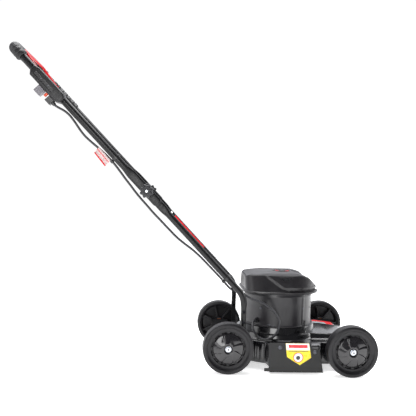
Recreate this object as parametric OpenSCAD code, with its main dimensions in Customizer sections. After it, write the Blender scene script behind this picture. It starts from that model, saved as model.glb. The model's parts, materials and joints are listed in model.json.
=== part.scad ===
// Corded electric rotary mower, walk-behind. Millimetres.
// +X is forward, +Y is the mower's left, +Z is up.
// The origin is on the ground, straight below the motor shaft.

/* [Wheels] */
// Radius of a wheel
wheel_r = 76; // [70:1:80]
// Width of a wheel
wheel_w = 38; // [34:1:40]
// Distance from the motor shaft back to the rear wheels
rear_x = 176; // [174:1:182]
// Distance from the motor shaft forward to the front wheels
front_x = 191; // [186:1:196]
// Half of the rear track, measured over the outer wheel faces
rear_half = 197; // [196:1:202]
// Half of the front track, measured over the outer wheel faces
front_half = 220; // [218:1:226]
// Radius of the shoulder bolt that a wheel turns on
axle_r = 6; // [5:0.5:6]

/* [Deck] */
// Radius of the round part of the deck
deck_r = 160; // [158:1:160]
// Height of the skirt's lower edge above the ground
skirt_z = 22; // [18:1:24]
// Height of the deck's flat top
deck_z = 88; // [87:0.5:89]
// Thickness of the deck's steel sheet
sheet = 2; // [1.5:0.5:2.5]
// Distance from the shaft out to the side chute's face
chute_y = 185; // [182:1:186]

/* [Motor] */
// Radius of the motor's steel shell
shell_r = 108.5; // [107:0.5:109]
// Height of the shell's lower edge, on top of the plinth
shell_z = 121; // [120:0.5:122]
// Height of the shell's upper edge
shell_top = 226; // [224:1:228]
// Height of the top cover's crown
cover_z = 287; // [286:1:290]
// Length of the blade from tip to tip
blade_l = 300; // [260:5:304]

/* [Handle] */
// Angle of the handle above the ground
handle_angle = 46.1; // [45.5:0.1:48]
// How far the folding pivot lies behind the motor shaft
pivot_back = 427; // [420:1:430]
// Height of the folding pivot
pivot_z = 535; // [530:1:544]
// Radius of the lower tubes
low_r = 10; // [9:0.5:10]
// Radius of the upper tube
up_r = 11; // [10.5:0.5:11]
// Length from the pivot to the middle of the crossbar
up_len = 575; // [565:1:580]
// Half of the spacing of the lower tubes
low_y = 143; // [142.5:0.25:143.5]

/* [Hidden] */
$fn = 48;
lean = 90 - handle_angle;
pivot_x = -pivot_back;
flat = 12;                          // thickness of a pressed-flat tube end
up_y = low_y + flat + 0.5;          // the upper legs lie outside the lower tubes
leg = 431;                          // pivot to the virtual corner at the foot
tube_x = pivot_x + leg * cos(handle_angle);
tube_z = pivot_z - leg * sin(handle_angle);
bend_r = 60;
bend_t = bend_r * tan(lean / 2);
foot_z = 100;                       // lower end of the lower tubes
foot_h = tube_z - bend_t - foot_z;  // height of the swaged foot
foot_r = 8;
tube_wall = 1.4;
corner_r = 45;                      // bend of the upper tube's corners
bolt_r = 4;                         // pivot bolt
run = 0.05;                         // running clearance on a radius
box_u0 = 356;                       // the switch box's lower and upper end
box_u1 = 482;
split_y = -up_y;                    // the switch box parts at the tube's centre
box_out = -185;                     // its outer and inner face
box_in = -139;
button_u = 400;
button_y = -174;
bail_u = 470;                       // the bail lever's pivot
bail_v = 4;
bail_arm = 80;
bail_tilt = 8;
cable_r = 3.4;
gland_a = 225;                      // where the cable enters the shell
gland_z = 138;
cover_x0 = -121;
cover_x1 = 125;
cover_y = 114;
cover_rear_r = 62;                  // plan corners of the top cover
cover_front_r = 98;
vent_x = 12;
vent_r = 31;
bolt_zs = [146, 178];               // bolts through the handle's feet
plate_bolts_at = [[-21, 81], [84, 68]];    // x and height of the side plate's bolts
shell_screw_as = [52, 128, 232, 308];
shell_screw_z = 179;                // screws through the shell into the stator
star_n = 8;

// Centre line of the cable: [across the leg, y, along the leg] on the handle
upper_route = [[-27, -170, 368], [-27, -170, 361], [-24, -167, 350], [-18.5, -161, 334], [-16, -158, 315],
    [-18, -158, 291], [-22, -159, 265], [-24, -159, 241], [-22, -158, 214], [-19, -157, 190],
    [-16.5, -156, 160], [-16, -155.5, 133], [-17, -155, 114], [-19, -154, 95], [-22, -153, 70]];
bend_route = [[-22, -153, 70], [-24, -152, 47], [-27, -149.5, 20], [-28.5, -146, -5], [-29, -144, -29.7]];
lower_route = [[-29, -144, -30], [-30, -143.5, -60], [-29.5, -144, -91], [-29, -144.5, -133],
    [-28, -145, -163], [-24, -144, -192], [-19, -143.5, -220], [-16, -143, -253], [-15, -143, -295],
    [-14.5, -143, -330], [-14.5, -143, -355], [-15, -142.5, -380]];
// Then the free loop beside the motor, in the mower's own frame
loop_route = [[-161, -134, 241], [-148, -128, 237], [-133, -126, 231], [-118, -125.5, 223],
    [-104, -125, 215], [-89, -124.5, 210], [-74, -124, 204], [-61, -124, 198], [-49, -124, 190],
    [-39, -124, 183], [-30, -124, 174], [-22, -124, 163], [-17, -124, 153], [-14, -126, 141],
    [-15, -129, 130], [-19, -132, 120], [-24, -134.5, 112], [-31, -136, 104], [-39, -136.5, 98],
    [-48, -136.5, 94], [-57, -135.5, 92], [-66, -133, 93], [-75, -129, 96], [-83, -124, 102],
    [-89, -118, 110], [-93, -111, 119], [-94, -103, 128], [-91, -95, 135], [-86, -87.5, 138],
    [-80.6, -80.6, 138]];

// ---- frames and shapes that repeat ----

// Places a child in the handle's frame: x across the leg, y, z along the leg from the pivot
module on_leg() {
    translate([pivot_x, 0, pivot_z]) rotate([0, -lean, 0]) children();
}

// A point of the handle's frame, [across, y, along], in the mower's frame
function leg_point(p) = [pivot_x + p[0] * cos(lean) - p[2] * sin(lean), p[1],
    pivot_z + p[0] * sin(lean) + p[2] * cos(lean)];

// A round bar along Y, centred on y
module bar_y(r, y, w) {
    translate([0, y, 0]) rotate([90, 0, 0]) cylinder(r = r, h = w, center = true);
}

// A rectangle with round corners, given by two opposite corners
module round_rect(x0, y0, x1, y1, r) {
    translate([x0 + r, y0]) square([x1 - x0 - 2 * r, y1 - y0]);
    translate([x0, y0 + r]) square([x1 - x0, y1 - y0 - 2 * r]);
    for (x = [x0 + r, x1 - r], y = [y0 + r, y1 - r]) translate([x, y]) circle(r);
}

// The slot-shaped section of a tube that is pressed flat
module pressed_section(wide) {
    square([wide - flat, flat], center = true);
    for (s = [-1, 1]) translate([s * (wide - flat) / 2, 0]) circle(flat / 2);
}

// Rings of a tube along a route: each ring stands square to the route
function unit(v) = v / norm(v);
function heading(p, i) = unit(p[min(i + 1, len(p) - 1)] - p[max(i - 1, 0)]);
function ring(p, i, r, n) =
    let (t = heading(p, i), s = unit(cross(t, abs(t[1]) > 0.9 ? [1, 0, 0] : [0, 1, 0])), q = cross(t, s))
    [for (k = [0 : n - 1]) p[i] + r * (cos(360 * k / n) * s + sin(360 * k / n) * q)];
module sweep(p, r, n = 10) {
    m = len(p);
    points = [for (i = [0 : m - 1]) each ring(p, i, r, n)];
    sides = [for (i = [0 : m - 2], k = [0 : n - 1])
        [i * n + k, i * n + (k + 1) % n, (i + 1) * n + (k + 1) % n, (i + 1) * n + k]];
    first = [for (k = [n - 1 : -1 : 0]) k];
    last = [for (k = [0 : n - 1]) (m - 1) * n + k];
    polyhedron(points, concat(sides, [first, last]));
}

// ---- deck and its fittings ----

// Plan of the deck: a round pan, a front and a rear end, and the side chute on the right
module deck_plan(inset = 0) {
    circle(deck_r - inset, $fn = 96);
    round_rect(-20, -150 + inset, 232 - inset, 150 - inset, 50 - inset);
    round_rect(-198 + inset, -118 + inset, 0, 118 - inset, 30 - inset);
    translate([-56 + inset, -chute_y + inset]) square([160 - 2 * inset, chute_y]);
}

// Side view of the raised hood in front of the motor
module hood_side(drop = 0) {
    polygon([[40, deck_z - 10], [232 - 4 * drop, deck_z - 10], [232 - 4 * drop, deck_z],
        [214, 96 - drop], [150, 104 - drop], [40, 106 - drop]]);
}

module deck_solid(inset) {
    translate([0, 0, skirt_z - (inset > 0 ? 1 : 0)])
        linear_extrude(deck_z - 3 - skirt_z + (inset > 0 ? 1 : 0)) deck_plan(inset);
    translate([0, 0, deck_z - 5]) linear_extrude(5 - inset) deck_plan(inset + 3);
    translate([0, 0, deck_z - 3]) cylinder(r1 = 138 - inset, r2 = 134 - inset, h = 19 - inset, $fn = 96);
    translate([0, 0, deck_z + 10])
        cylinder(r1 = 120 - inset, r2 = 117 - inset, h = shell_z - deck_z - 10 - inset, $fn = 96);
    intersection() {
        translate([0, 105 - inset, 0]) rotate([90, 0, 0]) linear_extrude(210 - 2 * inset) hood_side(inset);
        translate([0, 0, deck_z - 12]) linear_extrude(40) deck_plan(inset);
    }
}

module deck() {
    color([0.06, 0.06, 0.07]) {
        difference() {
            deck_solid(0);
            deck_solid(sheet);
            // the motor's boss, the motor screws, and the holes for the wheel and chute fittings
            translate([0, 0, 100]) cylinder(r = 30, h = 30);
            for (a = shell_screw_as) rotate(a) translate([98, 0, 100]) cylinder(r = 3.2, h = 30);
            for (b = plate_bolts_at) translate([b[0], 0, b[1]]) bar_y(3.2, -chute_y + 5, 20);
        }
        // pressed ribs that stiffen the skirt behind the side plate
        for (a = [229 : 5 : 249]) rotate(a) translate([deck_r - 1, 0, skirt_z + 8])
            cylinder(r = 3, h = 42, $fn = 24);
    }
}

module side_plate() {
    color([0.07, 0.07, 0.08]) difference() {
        translate([0, -chute_y - 0.1, 0]) rotate([90, 0, 0]) linear_extrude(sheet)
            polygon([[-56, 91], [-51, 95], [70, 95], [77, 78], [99, 75], [111, 6], [-51, 6],
                [-51, 9], [-67, 9], [-67, 19], [-54, 19]]);
        for (b = plate_bolts_at) translate([b[0], 0, b[1]]) bar_y(3.2, -chute_y, 20);
    }
}

// Round-head bolts that hold the side plate, each with its nut behind the deck's wall
module plate_bolts() {
    for (b = plate_bolts_at) translate([b[0], -chute_y, b[1]]) {
        color([0.8, 0.8, 0.82]) {
            rotate([90, 0, 0]) translate([0, 0, 2.2]) cylinder(r1 = 6.5, r2 = 4, h = 3);
            rotate([90, 0, 0]) translate([0, 0, -9]) cylinder(r = 3, h = 12);
            translate([0, 2.2, 0]) rotate([-90, 0, 0]) cylinder(r = 4.5, h = 4, $fn = 6);
        }
    }
}

module plate_label() {
    color([0.95, 0.8, 0.1]) translate([0, -chute_y - sheet - 0.15, 0]) rotate([90, 0, 0]) linear_extrude(0.3)
        polygon([[-5, 94], [66, 94], [73, 51], [40, 29], [0, 53]]);
}

module front_stripe() {
    color([0.75, 0.1, 0.12]) rotate([0, 7.1, 0]) translate([168.2, 0, 121.9])
        linear_extrude(0.3) round_rect(-24, -80, 24, 80, 8);
}

// A wheel bracket: a flange on the deck, and a plate with three holes for the wheel bolt
module wheel_bracket(x, plate_y, in_y) {
    color([0.1, 0.1, 0.11]) difference() {
        union() {
            translate([x - 28, plate_y - 3, 38]) cube([56, 3, deck_z + 3 - 38]);
            translate([x - 28, in_y, deck_z]) cube([56, plate_y - in_y - 1, 3]);
        }
        for (dz = [-22, 0]) translate([x, plate_y - 1, wheel_r + dz]) bar_y(axle_r + run, 0, 12);
        translate([x, in_y + 8, deck_z]) cylinder(r = 4, h = 10);
    }
}

module bracket_front_right() { mirror([0, 1, 0]) wheel_bracket(front_x, front_half - wheel_w - 5, 126); }
module bracket_front_left() { wheel_bracket(front_x, front_half - wheel_w - 5, 126); }
module bracket_rear_right() { mirror([0, 1, 0]) wheel_bracket(-rear_x, rear_half - wheel_w - 5, 96); }
module bracket_rear_left() { wheel_bracket(-rear_x, rear_half - wheel_w - 5, 96); }

// ---- wheels ----

// The shoulder bolt of one wheel: head and shank, washer, and the nut inside the bracket
module wheel_bolt(x, side, half) {
    translate([x, 0, wheel_r]) scale([1, side, 1]) {
        bar_y(axle_r, half - 24.5, 51);
        bar_y(9, half - 2.5, 2);
        bar_y(6.5, half + 1, 5);
        translate([0, half - wheel_w - 8.2, 0]) rotate([90, 0, 0]) cylinder(r = 10, h = 6, $fn = 6);
    }
}

module wheel_bolts() {
    color([0.78, 0.79, 0.8]) for (s = [-1, 1]) {
        wheel_bolt(front_x, s, front_half);
        wheel_bolt(-rear_x, s, rear_half);
    }
}

// Half section of a wheel, in radius and distance from its middle towards its outer face
module wheel_section() {
    e = wheel_w / 2;
    difference() {
        union() {
            translate([axle_r + run, -e + 1]) square([14, 2 * e - 6]);
            translate([axle_r + run + 4, 2]) square([52, 5]);
            translate([58, -e + 4]) square([wheel_r - 58, 2 * e - 8]);
            translate([58, -e]) square([wheel_r - 62, 2 * e]);
            for (s = [-1, 1]) translate([wheel_r - 4, s * (e - 4)]) circle(4);
        }
        translate([63, e - 2]) square([3, 3]);
    }
}

// A moulded wheel: hub, web and tread ring, with seven spokes behind the web
module wheel(x, side, half) {
    color([0.09, 0.09, 0.1]) translate([x, side * (half - wheel_w / 2), wheel_r]) rotate([-90 * side, 0, 0]) {
        rotate_extrude($fn = 96) wheel_section();
        for (k = [0 : 6]) rotate(k * 360 / 7) translate([19, -2.5, -wheel_w / 2 + 5])
            cube([41, 5, wheel_w / 2 - 2]);
    }
}

module wheel_front_right() { wheel(front_x, -1, front_half); }
module wheel_front_left() { wheel(front_x, 1, front_half); }
module wheel_rear_right() { wheel(-rear_x, -1, rear_half); }
module wheel_rear_left() { wheel(-rear_x, 1, rear_half); }

// The domed cap in the wheel's outer face, open in the middle for the bolt
module hubcap(x, side, half) {
    color([0.13, 0.13, 0.14]) translate([x, side * (half - wheel_w / 2), wheel_r]) rotate([-90 * side, 0, 0])
        rotate_extrude($fn = 96) polygon([[52, 7], [55, 7], [55, 14], [48, 16.5], [36, 20], [24, 21.5],
            [16, 20.5], [13.5, 17.5], [13.5, 15.2], [18, 15.2], [24, 18.5], [36, 17.2], [48, 13.6], [52, 12]]);
}

module hubcap_front_right() { hubcap(front_x, -1, front_half); }
module hubcap_front_left() { hubcap(front_x, 1, front_half); }
module hubcap_rear_right() { hubcap(-rear_x, -1, rear_half); }
module hubcap_rear_left() { hubcap(-rear_x, 1, rear_half); }

// ---- lower handle ----

module handle_bracket() {
    color([0.1, 0.1, 0.11]) difference() {
        union() {
            translate([tube_x - 7, low_y - foot_r - 3.2, deck_z]) cube([14, 3, foot_z + foot_h - 12 - deck_z]);
            translate([tube_x - 8, 92, deck_z]) cube([20, low_y - foot_r - 93, 3]);
        }
        for (z = bolt_zs) translate([tube_x, low_y - foot_r, z]) bar_y(3.2, 0, 14);
        translate([tube_x + 2, 104, deck_z]) cylinder(r = 4, h = 10);
    }
}

module handle_bracket_right() { mirror([0, 1, 0]) handle_bracket(); }
module handle_bracket_left() { handle_bracket(); }

module foot_bolts() {
    color([0.16, 0.16, 0.17]) for (s = [-1, 1], z = bolt_zs) translate([tube_x, 0, z]) scale([1, s, 1]) {
        bar_y(3, low_y - 3, 2 * foot_r + 10);
        translate([0, low_y + foot_r + 0.1, 0]) rotate([-90, 0, 0]) cylinder(r1 = 5.5, r2 = 3.5, h = 2.6);
        translate([0, low_y - foot_r - 3.4, 0]) rotate([90, 0, 0]) cylinder(r = 5.5, h = 5, $fn = 6);
    }
}

// One lower tube: upright foot, bend, long straight, and a pressed-flat end at the pivot
module lower_tube() {
    module leg_and_bend(r) {
        on_leg() translate([0, low_y, -leg + bend_t]) {
            cylinder(r = r, h = leg - bend_t - 100);
            translate([-bend_r, 0, 0]) mirror([0, 0, 1]) rotate([90, 0, 0])
                rotate_extrude(angle = lean) translate([bend_r, 0]) circle(r);
        }
    }
    color([0.08, 0.08, 0.09]) difference() {
        union() {
            difference() {
                leg_and_bend(low_r);
                leg_and_bend(low_r - tube_wall);
            }
            // the swaged foot overlaps the bend by 2 mm, and starts a hair thicker so that the two join
            translate([tube_x, low_y, foot_z]) rotate_extrude() polygon([[foot_r - tube_wall, 0], [foot_r, 0],
                [foot_r, foot_h - 12], [low_r + 0.1, foot_h], [low_r + 0.1, foot_h + 2],
                [low_r - tube_wall - 0.1, foot_h + 2], [low_r - tube_wall - 0.1, foot_h],
                [foot_r - tube_wall, foot_h - 12]]);
            on_leg() {
                hull() {
                    translate([0, low_y, -100.5]) cylinder(r = low_r, h = 1, $fn = 32);
                    translate([0, low_y, -71]) linear_extrude(1) pressed_section(25, $fn = 32);
                }
                translate([0, low_y, -71]) linear_extrude(86) pressed_section(25);
                translate([0, 0, 18]) bar_y(14, low_y, flat);
            }
        }
        on_leg() bar_y(bolt_r + run, low_y, 40);
        for (z = bolt_zs) translate([tube_x, 0, z]) bar_y(3.1, low_y, 40);
    }
}

module lower_tube_right() { mirror([0, 1, 0]) lower_tube(); }
module lower_tube_left() { lower_tube(); }

// The bolts that the upper handle folds on: a round head inside, a long thread outside
module pivot_bolts() {
    color([0.8, 0.8, 0.82]) on_leg() for (s = [-1, 1]) scale([1, s, 1]) {
        bar_y(bolt_r, low_y + 16.5, 51);
        translate([0, low_y - flat / 2 - 0.1, 0]) rotate([90, 0, 0]) cylinder(r1 = 9, r2 = 6, h = 4);
    }
}

// A star knob with round lobes
module knob(side) {
    color([0.36, 0.37, 0.39]) on_leg() scale([1, side, 1]) difference() {
        translate([0, up_y + flat / 2 + 0.4, 0]) rotate([-90, 0, 0]) {
            cylinder(r = 9, h = 5);
            translate([0, 0, 4]) cylinder(r = 18, h = 15);
            for (k = [0 : star_n - 1]) rotate((k + 0.5) * 360 / star_n) translate([16.7, 0, 4.6])
                cylinder(r = 4.5, h = 13.4);
            translate([0, 0, 18.5]) cylinder(r1 = 16, r2 = 12, h = 2.5);
        }
        bar_y(bolt_r + run, up_y + 20, 60);
        bar_y(8, up_y + flat / 2 + 0.4 + 19, 6);
    }
}

module knob_right() { knob(-1); }
module knob_left() { knob(1); }

// ---- upper handle ----

module upper_handle() {
    module u_tube(r) {
        for (s = [-1, 1]) scale([1, s, 1]) {
            translate([0, up_y, 100]) cylinder(r = r, h = up_len - corner_r - 100);
            translate([0, up_y - corner_r, up_len - corner_r]) rotate([90, 0, 90])
                rotate_extrude(angle = 90) translate([corner_r, 0]) circle(r);
        }
        translate([0, 0, up_len]) bar_y(r, 0, 2 * (up_y - corner_r));
    }
    color([0.08, 0.08, 0.09]) on_leg() difference() {
        union() {
            difference() {
                u_tube(up_r);
                u_tube(up_r - tube_wall);
            }
            for (s = [-1, 1]) scale([1, s, 1]) {
                hull() {
                    translate([0, up_y, 100]) cylinder(r = up_r, h = 0.5, $fn = 32);
                    translate([0, up_y, 64]) linear_extrude(1) pressed_section(28, $fn = 32);
                }
                translate([0, up_y, -42]) linear_extrude(107) pressed_section(28);
                translate([0, 0, -42]) bar_y(14, up_y, flat);
            }
        }
        for (s = [-1, 1]) bar_y(bolt_r + run, s * up_y, 30);
    }
}

// Soft sleeve over the crossbar and round both corners
module crossbar_grip() {
    module sleeve(r) {
        bar_y(r, 0, 2 * (up_y - corner_r));
        for (s = [-1, 1]) scale([1, s, 1]) translate([0, up_y - corner_r, -corner_r]) rotate([90, 0, 90])
            rotate_extrude(angle = 90) translate([corner_r, 0]) circle(r);
    }
    color([0.2, 0.2, 0.21]) on_leg() translate([0, 0, up_len]) difference() {
        sleeve(18);
        sleeve(up_r + run);
    }
}

module left_leg_grip() {
    color([0.2, 0.2, 0.21]) on_leg() translate([0, up_y, 379]) difference() {
        cylinder(r = 17.5, h = 116);
        translate([0, 0, -1]) cylinder(r = up_r + run, h = 130);
    }
}

// Side outline of the switch box, across and along the leg
module box_outline(inset = 0) {
    polygon([[-12 + inset, box_u0 + inset], [8 - inset, box_u0 + inset], [14 - inset, 366], [14 - inset, 466],
        [9 - inset, box_u1 - inset], [-9, box_u1 - inset], [-20 + inset, 472], [-20 + inset, 369]]);
}

// Lays an outline of the leg's frame upright between two values of y
module slab(y0, y1) {
    rotate([90, 0, 0]) translate([0, 0, -y1]) linear_extrude(y1 - y0) children();
}

module switch_box_outer() {
    color([0.12, 0.12, 0.13]) on_leg() difference() {
        union() {
            slab(box_out + 2, split_y - 0.1) box_outline();
            slab(box_out, box_out + 2.5) box_outline(2);
        }
        translate([0, -up_y, box_u0 - 1]) cylinder(r = up_r + run, h = 140);
        slab(box_out + 2.5, -up_y - up_r - 1) translate([-17, 372]) square([28, 98]);
        // way out for the button, the inlet and the cable
        translate([-14, button_y, button_u]) rotate([0, -90, 0]) cylinder(r = 4.6, h = 10);
        translate([-21, -179, 412]) cube([5, 16, 18]);
        translate([-21, -175, 376]) cube([5, 10, 10]);
    }
}

module switch_box_inner() {
    color([0.12, 0.12, 0.13]) on_leg() difference() {
        slab(split_y + 0.1, box_in) box_outline();
        translate([0, -up_y, box_u0 - 1]) cylinder(r = up_r + run, h = 140);
        translate([bail_v, 0, bail_u]) bar_y(2.5 + run, box_in, 8);
        for (u = [376, 440]) translate([-15.6, 0, u]) bar_y(1.6, -145, 30);
    }
}

module box_screws() {
    color([0.75, 0.75, 0.77]) on_leg() for (u = [376, 440]) translate([-15.6, 0, u]) {
        bar_y(1.5, box_in - 7.5, 16);
        translate([0, box_in, 0]) rotate([-90, 0, 0]) cylinder(r1 = 3.2, r2 = 2, h = 1.6);
    }
}

module microswitch() {
    color([0.1, 0.1, 0.1]) on_leg() {
        translate([-13, -181, 412]) cube([10, 12, 28]);
        for (u = [416, 426, 436]) translate([-3, -176, u - 0.4]) cube([6, 3, 0.8]);
    }
}

module inlet_shroud() {
    color([0.45, 0.46, 0.48]) on_leg() difference() {
        translate([-42, -183, 409]) cube([21.8, 24, 24]);
        translate([-43, -181, 411]) cube([20, 20, 20]);
        for (y = [-177, -167]) translate([-30, y - 0.8, 418]) cube([12, 1.6, 6]);
    }
}

module inlet_pins() {
    color([0.8, 0.65, 0.3]) on_leg() for (y = [-177, -167]) translate([-38, y - 0.8, 418]) cube([19, 1.6, 6]);
}

module cable_outlet() {
    color([0.05, 0.05, 0.05]) on_leg() difference() {
        union() {
            translate([-38, -182, 371]) cube([17.8, 20, 20]);
            translate([-27, -170, 362]) cylinder(r1 = 5, r2 = 6.5, h = 9);
        }
        translate([-27, -170, 360]) cylinder(r = cable_r + 0.3, h = 8.2);
    }
}

// The red button under the switch box that frees the bail lever
module lock_button() {
    color([0.85, 0.2, 0.1]) on_leg() translate([0, button_y, button_u]) rotate([0, -90, 0]) {
        translate([0, 0, 13.6]) cylinder(r = 4.4, h = 17);
        translate([0, 0, 11.2]) cylinder(r = 6, h = 2.6);
        translate([0, 0, 30.6]) cylinder(r1 = 4.4, r2 = 3.4, h = 1);
    }
}

// The bail: two arms from the pivots, and a bar beside the crossbar
module bail_lever() {
    y = 131;
    color([0.8, 0.06, 0.08]) on_leg() translate([bail_v, 0, bail_u]) rotate([0, bail_tilt, 0]) {
        for (s = [-1, 1]) scale([1, s, 1]) {
            translate([0, y, 0]) cylinder(r = 4, h = bail_arm - 14);
            translate([0, y - 14, bail_arm - 14]) rotate([90, 0, 90])
                rotate_extrude(angle = 90) translate([14, 0]) circle(4);
            bar_y(6, y, 7);
        }
        bar_y(2.5, y + 5, 4);
        bar_y(2.5, -y - 7, 8);
        translate([0, 0, bail_arm]) bar_y(4, 0, 2 * (y - 14));
    }
}

// Holds the bail lever's left end: a ring on the left leg above its grip, and a strap down to the pivot
module bail_bracket() {
    color([0.12, 0.12, 0.13]) on_leg() difference() {
        union() {
            translate([0, up_y, 500]) cylinder(r = up_r + 3, h = 17);
            translate([-7, 135.2, 500]) cube([19, 14, 15]);
            translate([-5, 135.2, bail_u - 9]) cube([17, 2.7, 33]);
        }
        translate([0, up_y, 490]) cylinder(r = up_r + run, h = 30);
        translate([bail_v, 0, bail_u]) bar_y(2.5 + run, 137, 10);
    }
}

// ---- cable ----

module clip(r, v, y, u) {
    color([0.06, 0.06, 0.07]) on_leg() translate([0, y, u - 4]) difference() {
        union() {
            cylinder(r = r + 2, h = 8);
            translate([v, 0, 0]) cylinder(r = cable_r + 2.2, h = 8);
            translate([v, -3, 0]) cube([-v, 6, 8]);
        }
        translate([0, 0, -1]) cylinder(r = r + run, h = 10);
        translate([v, 0, -1]) cylinder(r = cable_r + 0.2, h = 10);
    }
}

module upper_clip() { clip(up_r, -16, -up_y, 133); }
module lower_clip() { clip(low_r, -14.5, -low_y, -355); }

module cable_upper() { color([0.16, 0.16, 0.17]) sweep([for (p = upper_route) leg_point(p)], cable_r); }
module cable_bend() { color([0.16, 0.16, 0.17]) sweep([for (p = bend_route) leg_point(p)], cable_r); }
module cable_lower() {
    color([0.16, 0.16, 0.17]) sweep(concat([for (p = lower_route) leg_point(p)], loop_route), cable_r);
}

// The gland where the cable enters the motor's shell
module gland() {
    color([0.05, 0.05, 0.06]) rotate(gland_a) translate([shell_r, 0, gland_z]) rotate([0, 90, 0]) difference() {
        union() {
            translate([0, 0, 0.1]) cylinder(r = 9, h = 5, $fn = 6);
            translate([0, 0, 5]) cylinder(r1 = 7, r2 = 5.5, h = 6);
            translate([0, 0, -8]) cylinder(r = 5.9, h = 9);
        }
        translate([0, 0, 4]) cylinder(r = cable_r + 0.5, h = 20);
        translate([0, 0, -9]) cylinder(r = 2.5, h = 14);
    }
}

// A paper care tag, folded over the cable
module cable_tag() {
    color([0.92, 0.9, 0.88]) on_leg() slab(-163.6, -162.8)
        polygon([[-17, 138], [-15, 190], [-37, 186], [-41, 136]]);
}

// ---- motor ----

module motor_shell() {
    color([0.16, 0.16, 0.17]) difference() {
        union() {
            translate([0, 0, shell_z + 0.1]) cylinder(r = shell_r, h = shell_top - shell_z, $fn = 96);
            translate([0, 0, shell_z + 0.1]) cylinder(r = shell_r + 5, h = 3, $fn = 96);
        }
        translate([0, 0, shell_z - 1]) cylinder(r = shell_r - 1.5, h = 120, $fn = 96);
        rotate(gland_a) translate([shell_r - 6, 0, gland_z]) rotate([0, 90, 0]) cylinder(r = 6, h = 10);
        for (a = shell_screw_as) rotate(a) translate([shell_r - 4, 0, shell_screw_z]) rotate([0, 90, 0])
            cylinder(r = 2.1, h = 10);
    }
}

// Plan of the top cover, rounder in front than behind
module cover_plan(inset = 0) {
    hull() for (s = [-1, 1]) {
        translate([cover_x0 + cover_rear_r, s * (cover_y - cover_rear_r)]) circle(cover_rear_r - inset);
        translate([cover_x1 - cover_front_r, s * (cover_y - cover_front_r)]) circle(cover_front_r - inset);
    }
}

// Cross-section of the top cover, whose sides lean inwards
module cover_section(inset) {
    half = [[cover_y - inset, 215], [cover_y - inset, 234], [92 - inset, cover_z - 11],
        [86 - inset, cover_z - 3.8 - inset], [50, cover_z - inset]];
    polygon(concat(half, [for (i = [4 : -1 : 0]) [-half[i][0], half[i][1]]]));
}

// Side view of the top cover, from its back edge over the crown and down to its nose
module cover_side(low, lift) {
    polygon([[cover_x0 - 1, low], [cover_x0 - 1, cover_z - 11 + lift], [-112, cover_z - 6.5 + lift],
        [-60, cover_z - 3 + lift], [-20, cover_z + lift], [44, cover_z + lift],
        [66, cover_z - 5.5 + lift], [84, cover_z - 10 + lift], [93, 270 + lift], [101, 261 + lift],
        [113, 250 + lift], [119, 243 + lift], [cover_x1 + 1, 229 + lift], [cover_x1 + 1, low]]);
}

// The cover's block, or with an inset the hollow inside it
module cover_block(low, inset) {
    intersection() {
        translate([0, 0, low]) linear_extrude(80) cover_plan(inset);
        translate([0, cover_y + 1, 0]) rotate([90, 0, 0]) linear_extrude(2 * cover_y + 2)
            cover_side(low, -inset);
        translate([cover_x0 - 2, 0, 0]) rotate([90, 0, 90]) linear_extrude(250) cover_section(inset);
    }
}

module motor_cover() {
    color([0.1, 0.1, 0.11]) difference() {
        cover_block(225, 0);
        cover_block(220, 2.5);
        translate([vent_x, 0, 280]) cylinder(r = vent_r - 2, h = 20);
    }
    // the inner ledge that sits on the shell's upper edge
    color([0.1, 0.1, 0.11]) intersection() {
        translate([0, 0, shell_top + 0.1]) difference() {
            cylinder(r = shell_r + 4, h = 3);
            translate([0, 0, -1]) cylinder(r = shell_r - 4, h = 5);
        }
        translate([0, 0, 225]) linear_extrude(10) cover_plan(1);
    }
}

// A round louvred vent in the cover's crown
module top_vent() {
    color([0.06, 0.06, 0.07]) translate([vent_x, 0, cover_z]) difference() {
        union() {
            cylinder(r = vent_r, h = 1.2);
            translate([0, 0, -3]) cylinder(r = vent_r - 2.2, h = 3.2);
        }
        for (y = [-20 : 8 : 20]) translate([-18, y - 2, -4]) cube([36, 4, 8]);
    }
}

// Screws of the shell: four hold it to the deck from below, four hold the stator in it
module motor_screws() {
    color([0.75, 0.75, 0.77]) for (a = shell_screw_as) rotate(a) {
        translate([98, 0, shell_z - sheet - 5.2]) cylinder(r = 6, h = 5, $fn = 6);
        translate([98, 0, shell_z - sheet - 1]) cylinder(r = 3, h = 7.5);
        translate([shell_r + 0.1, 0, shell_screw_z]) rotate([0, 90, 0]) cylinder(r1 = 4.5, r2 = 3, h = 2);
        translate([shell_r - 10, 0, shell_screw_z]) rotate([0, 90, 0]) cylinder(r = 2, h = 11);
    }
}

module lower_bell() {
    color([0.6, 0.6, 0.62]) difference() {
        union() {
            translate([0, 0, shell_z + 0.2]) cylinder(r = shell_r - 1.7, h = 6);
            translate([0, 0, shell_z - 8]) cylinder(r = 26, h = 22);
        }
        translate([0, 0, shell_z - 10]) cylinder(r = 9, h = 30);
        translate([0, 0, shell_z + 2]) cylinder(r = 17.5, h = 30);
        for (a = shell_screw_as) rotate(a) translate([98, 0, shell_z]) cylinder(r = 3.1, h = 5);
        for (a = [0 : 60 : 300]) rotate(a) translate([60, 0, shell_z - 1]) cylinder(r = 9, h = 10);
    }
}

module upper_bell() {
    color([0.6, 0.6, 0.62]) difference() {
        union() {
            translate([0, 0, shell_top - 22]) cylinder(r = shell_r - 1.7, h = 8);
            translate([0, 0, shell_top - 30]) cylinder(r = 26, h = 16);
        }
        translate([0, 0, shell_top - 40]) cylinder(r = 9, h = 40);
        translate([0, 0, shell_top - 31]) cylinder(r = 17.5, h = 11);
        for (a = [0 : 60 : 300]) rotate(a) translate([60, 0, shell_top - 24]) cylinder(r = 12, h = 20);
    }
}

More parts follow.
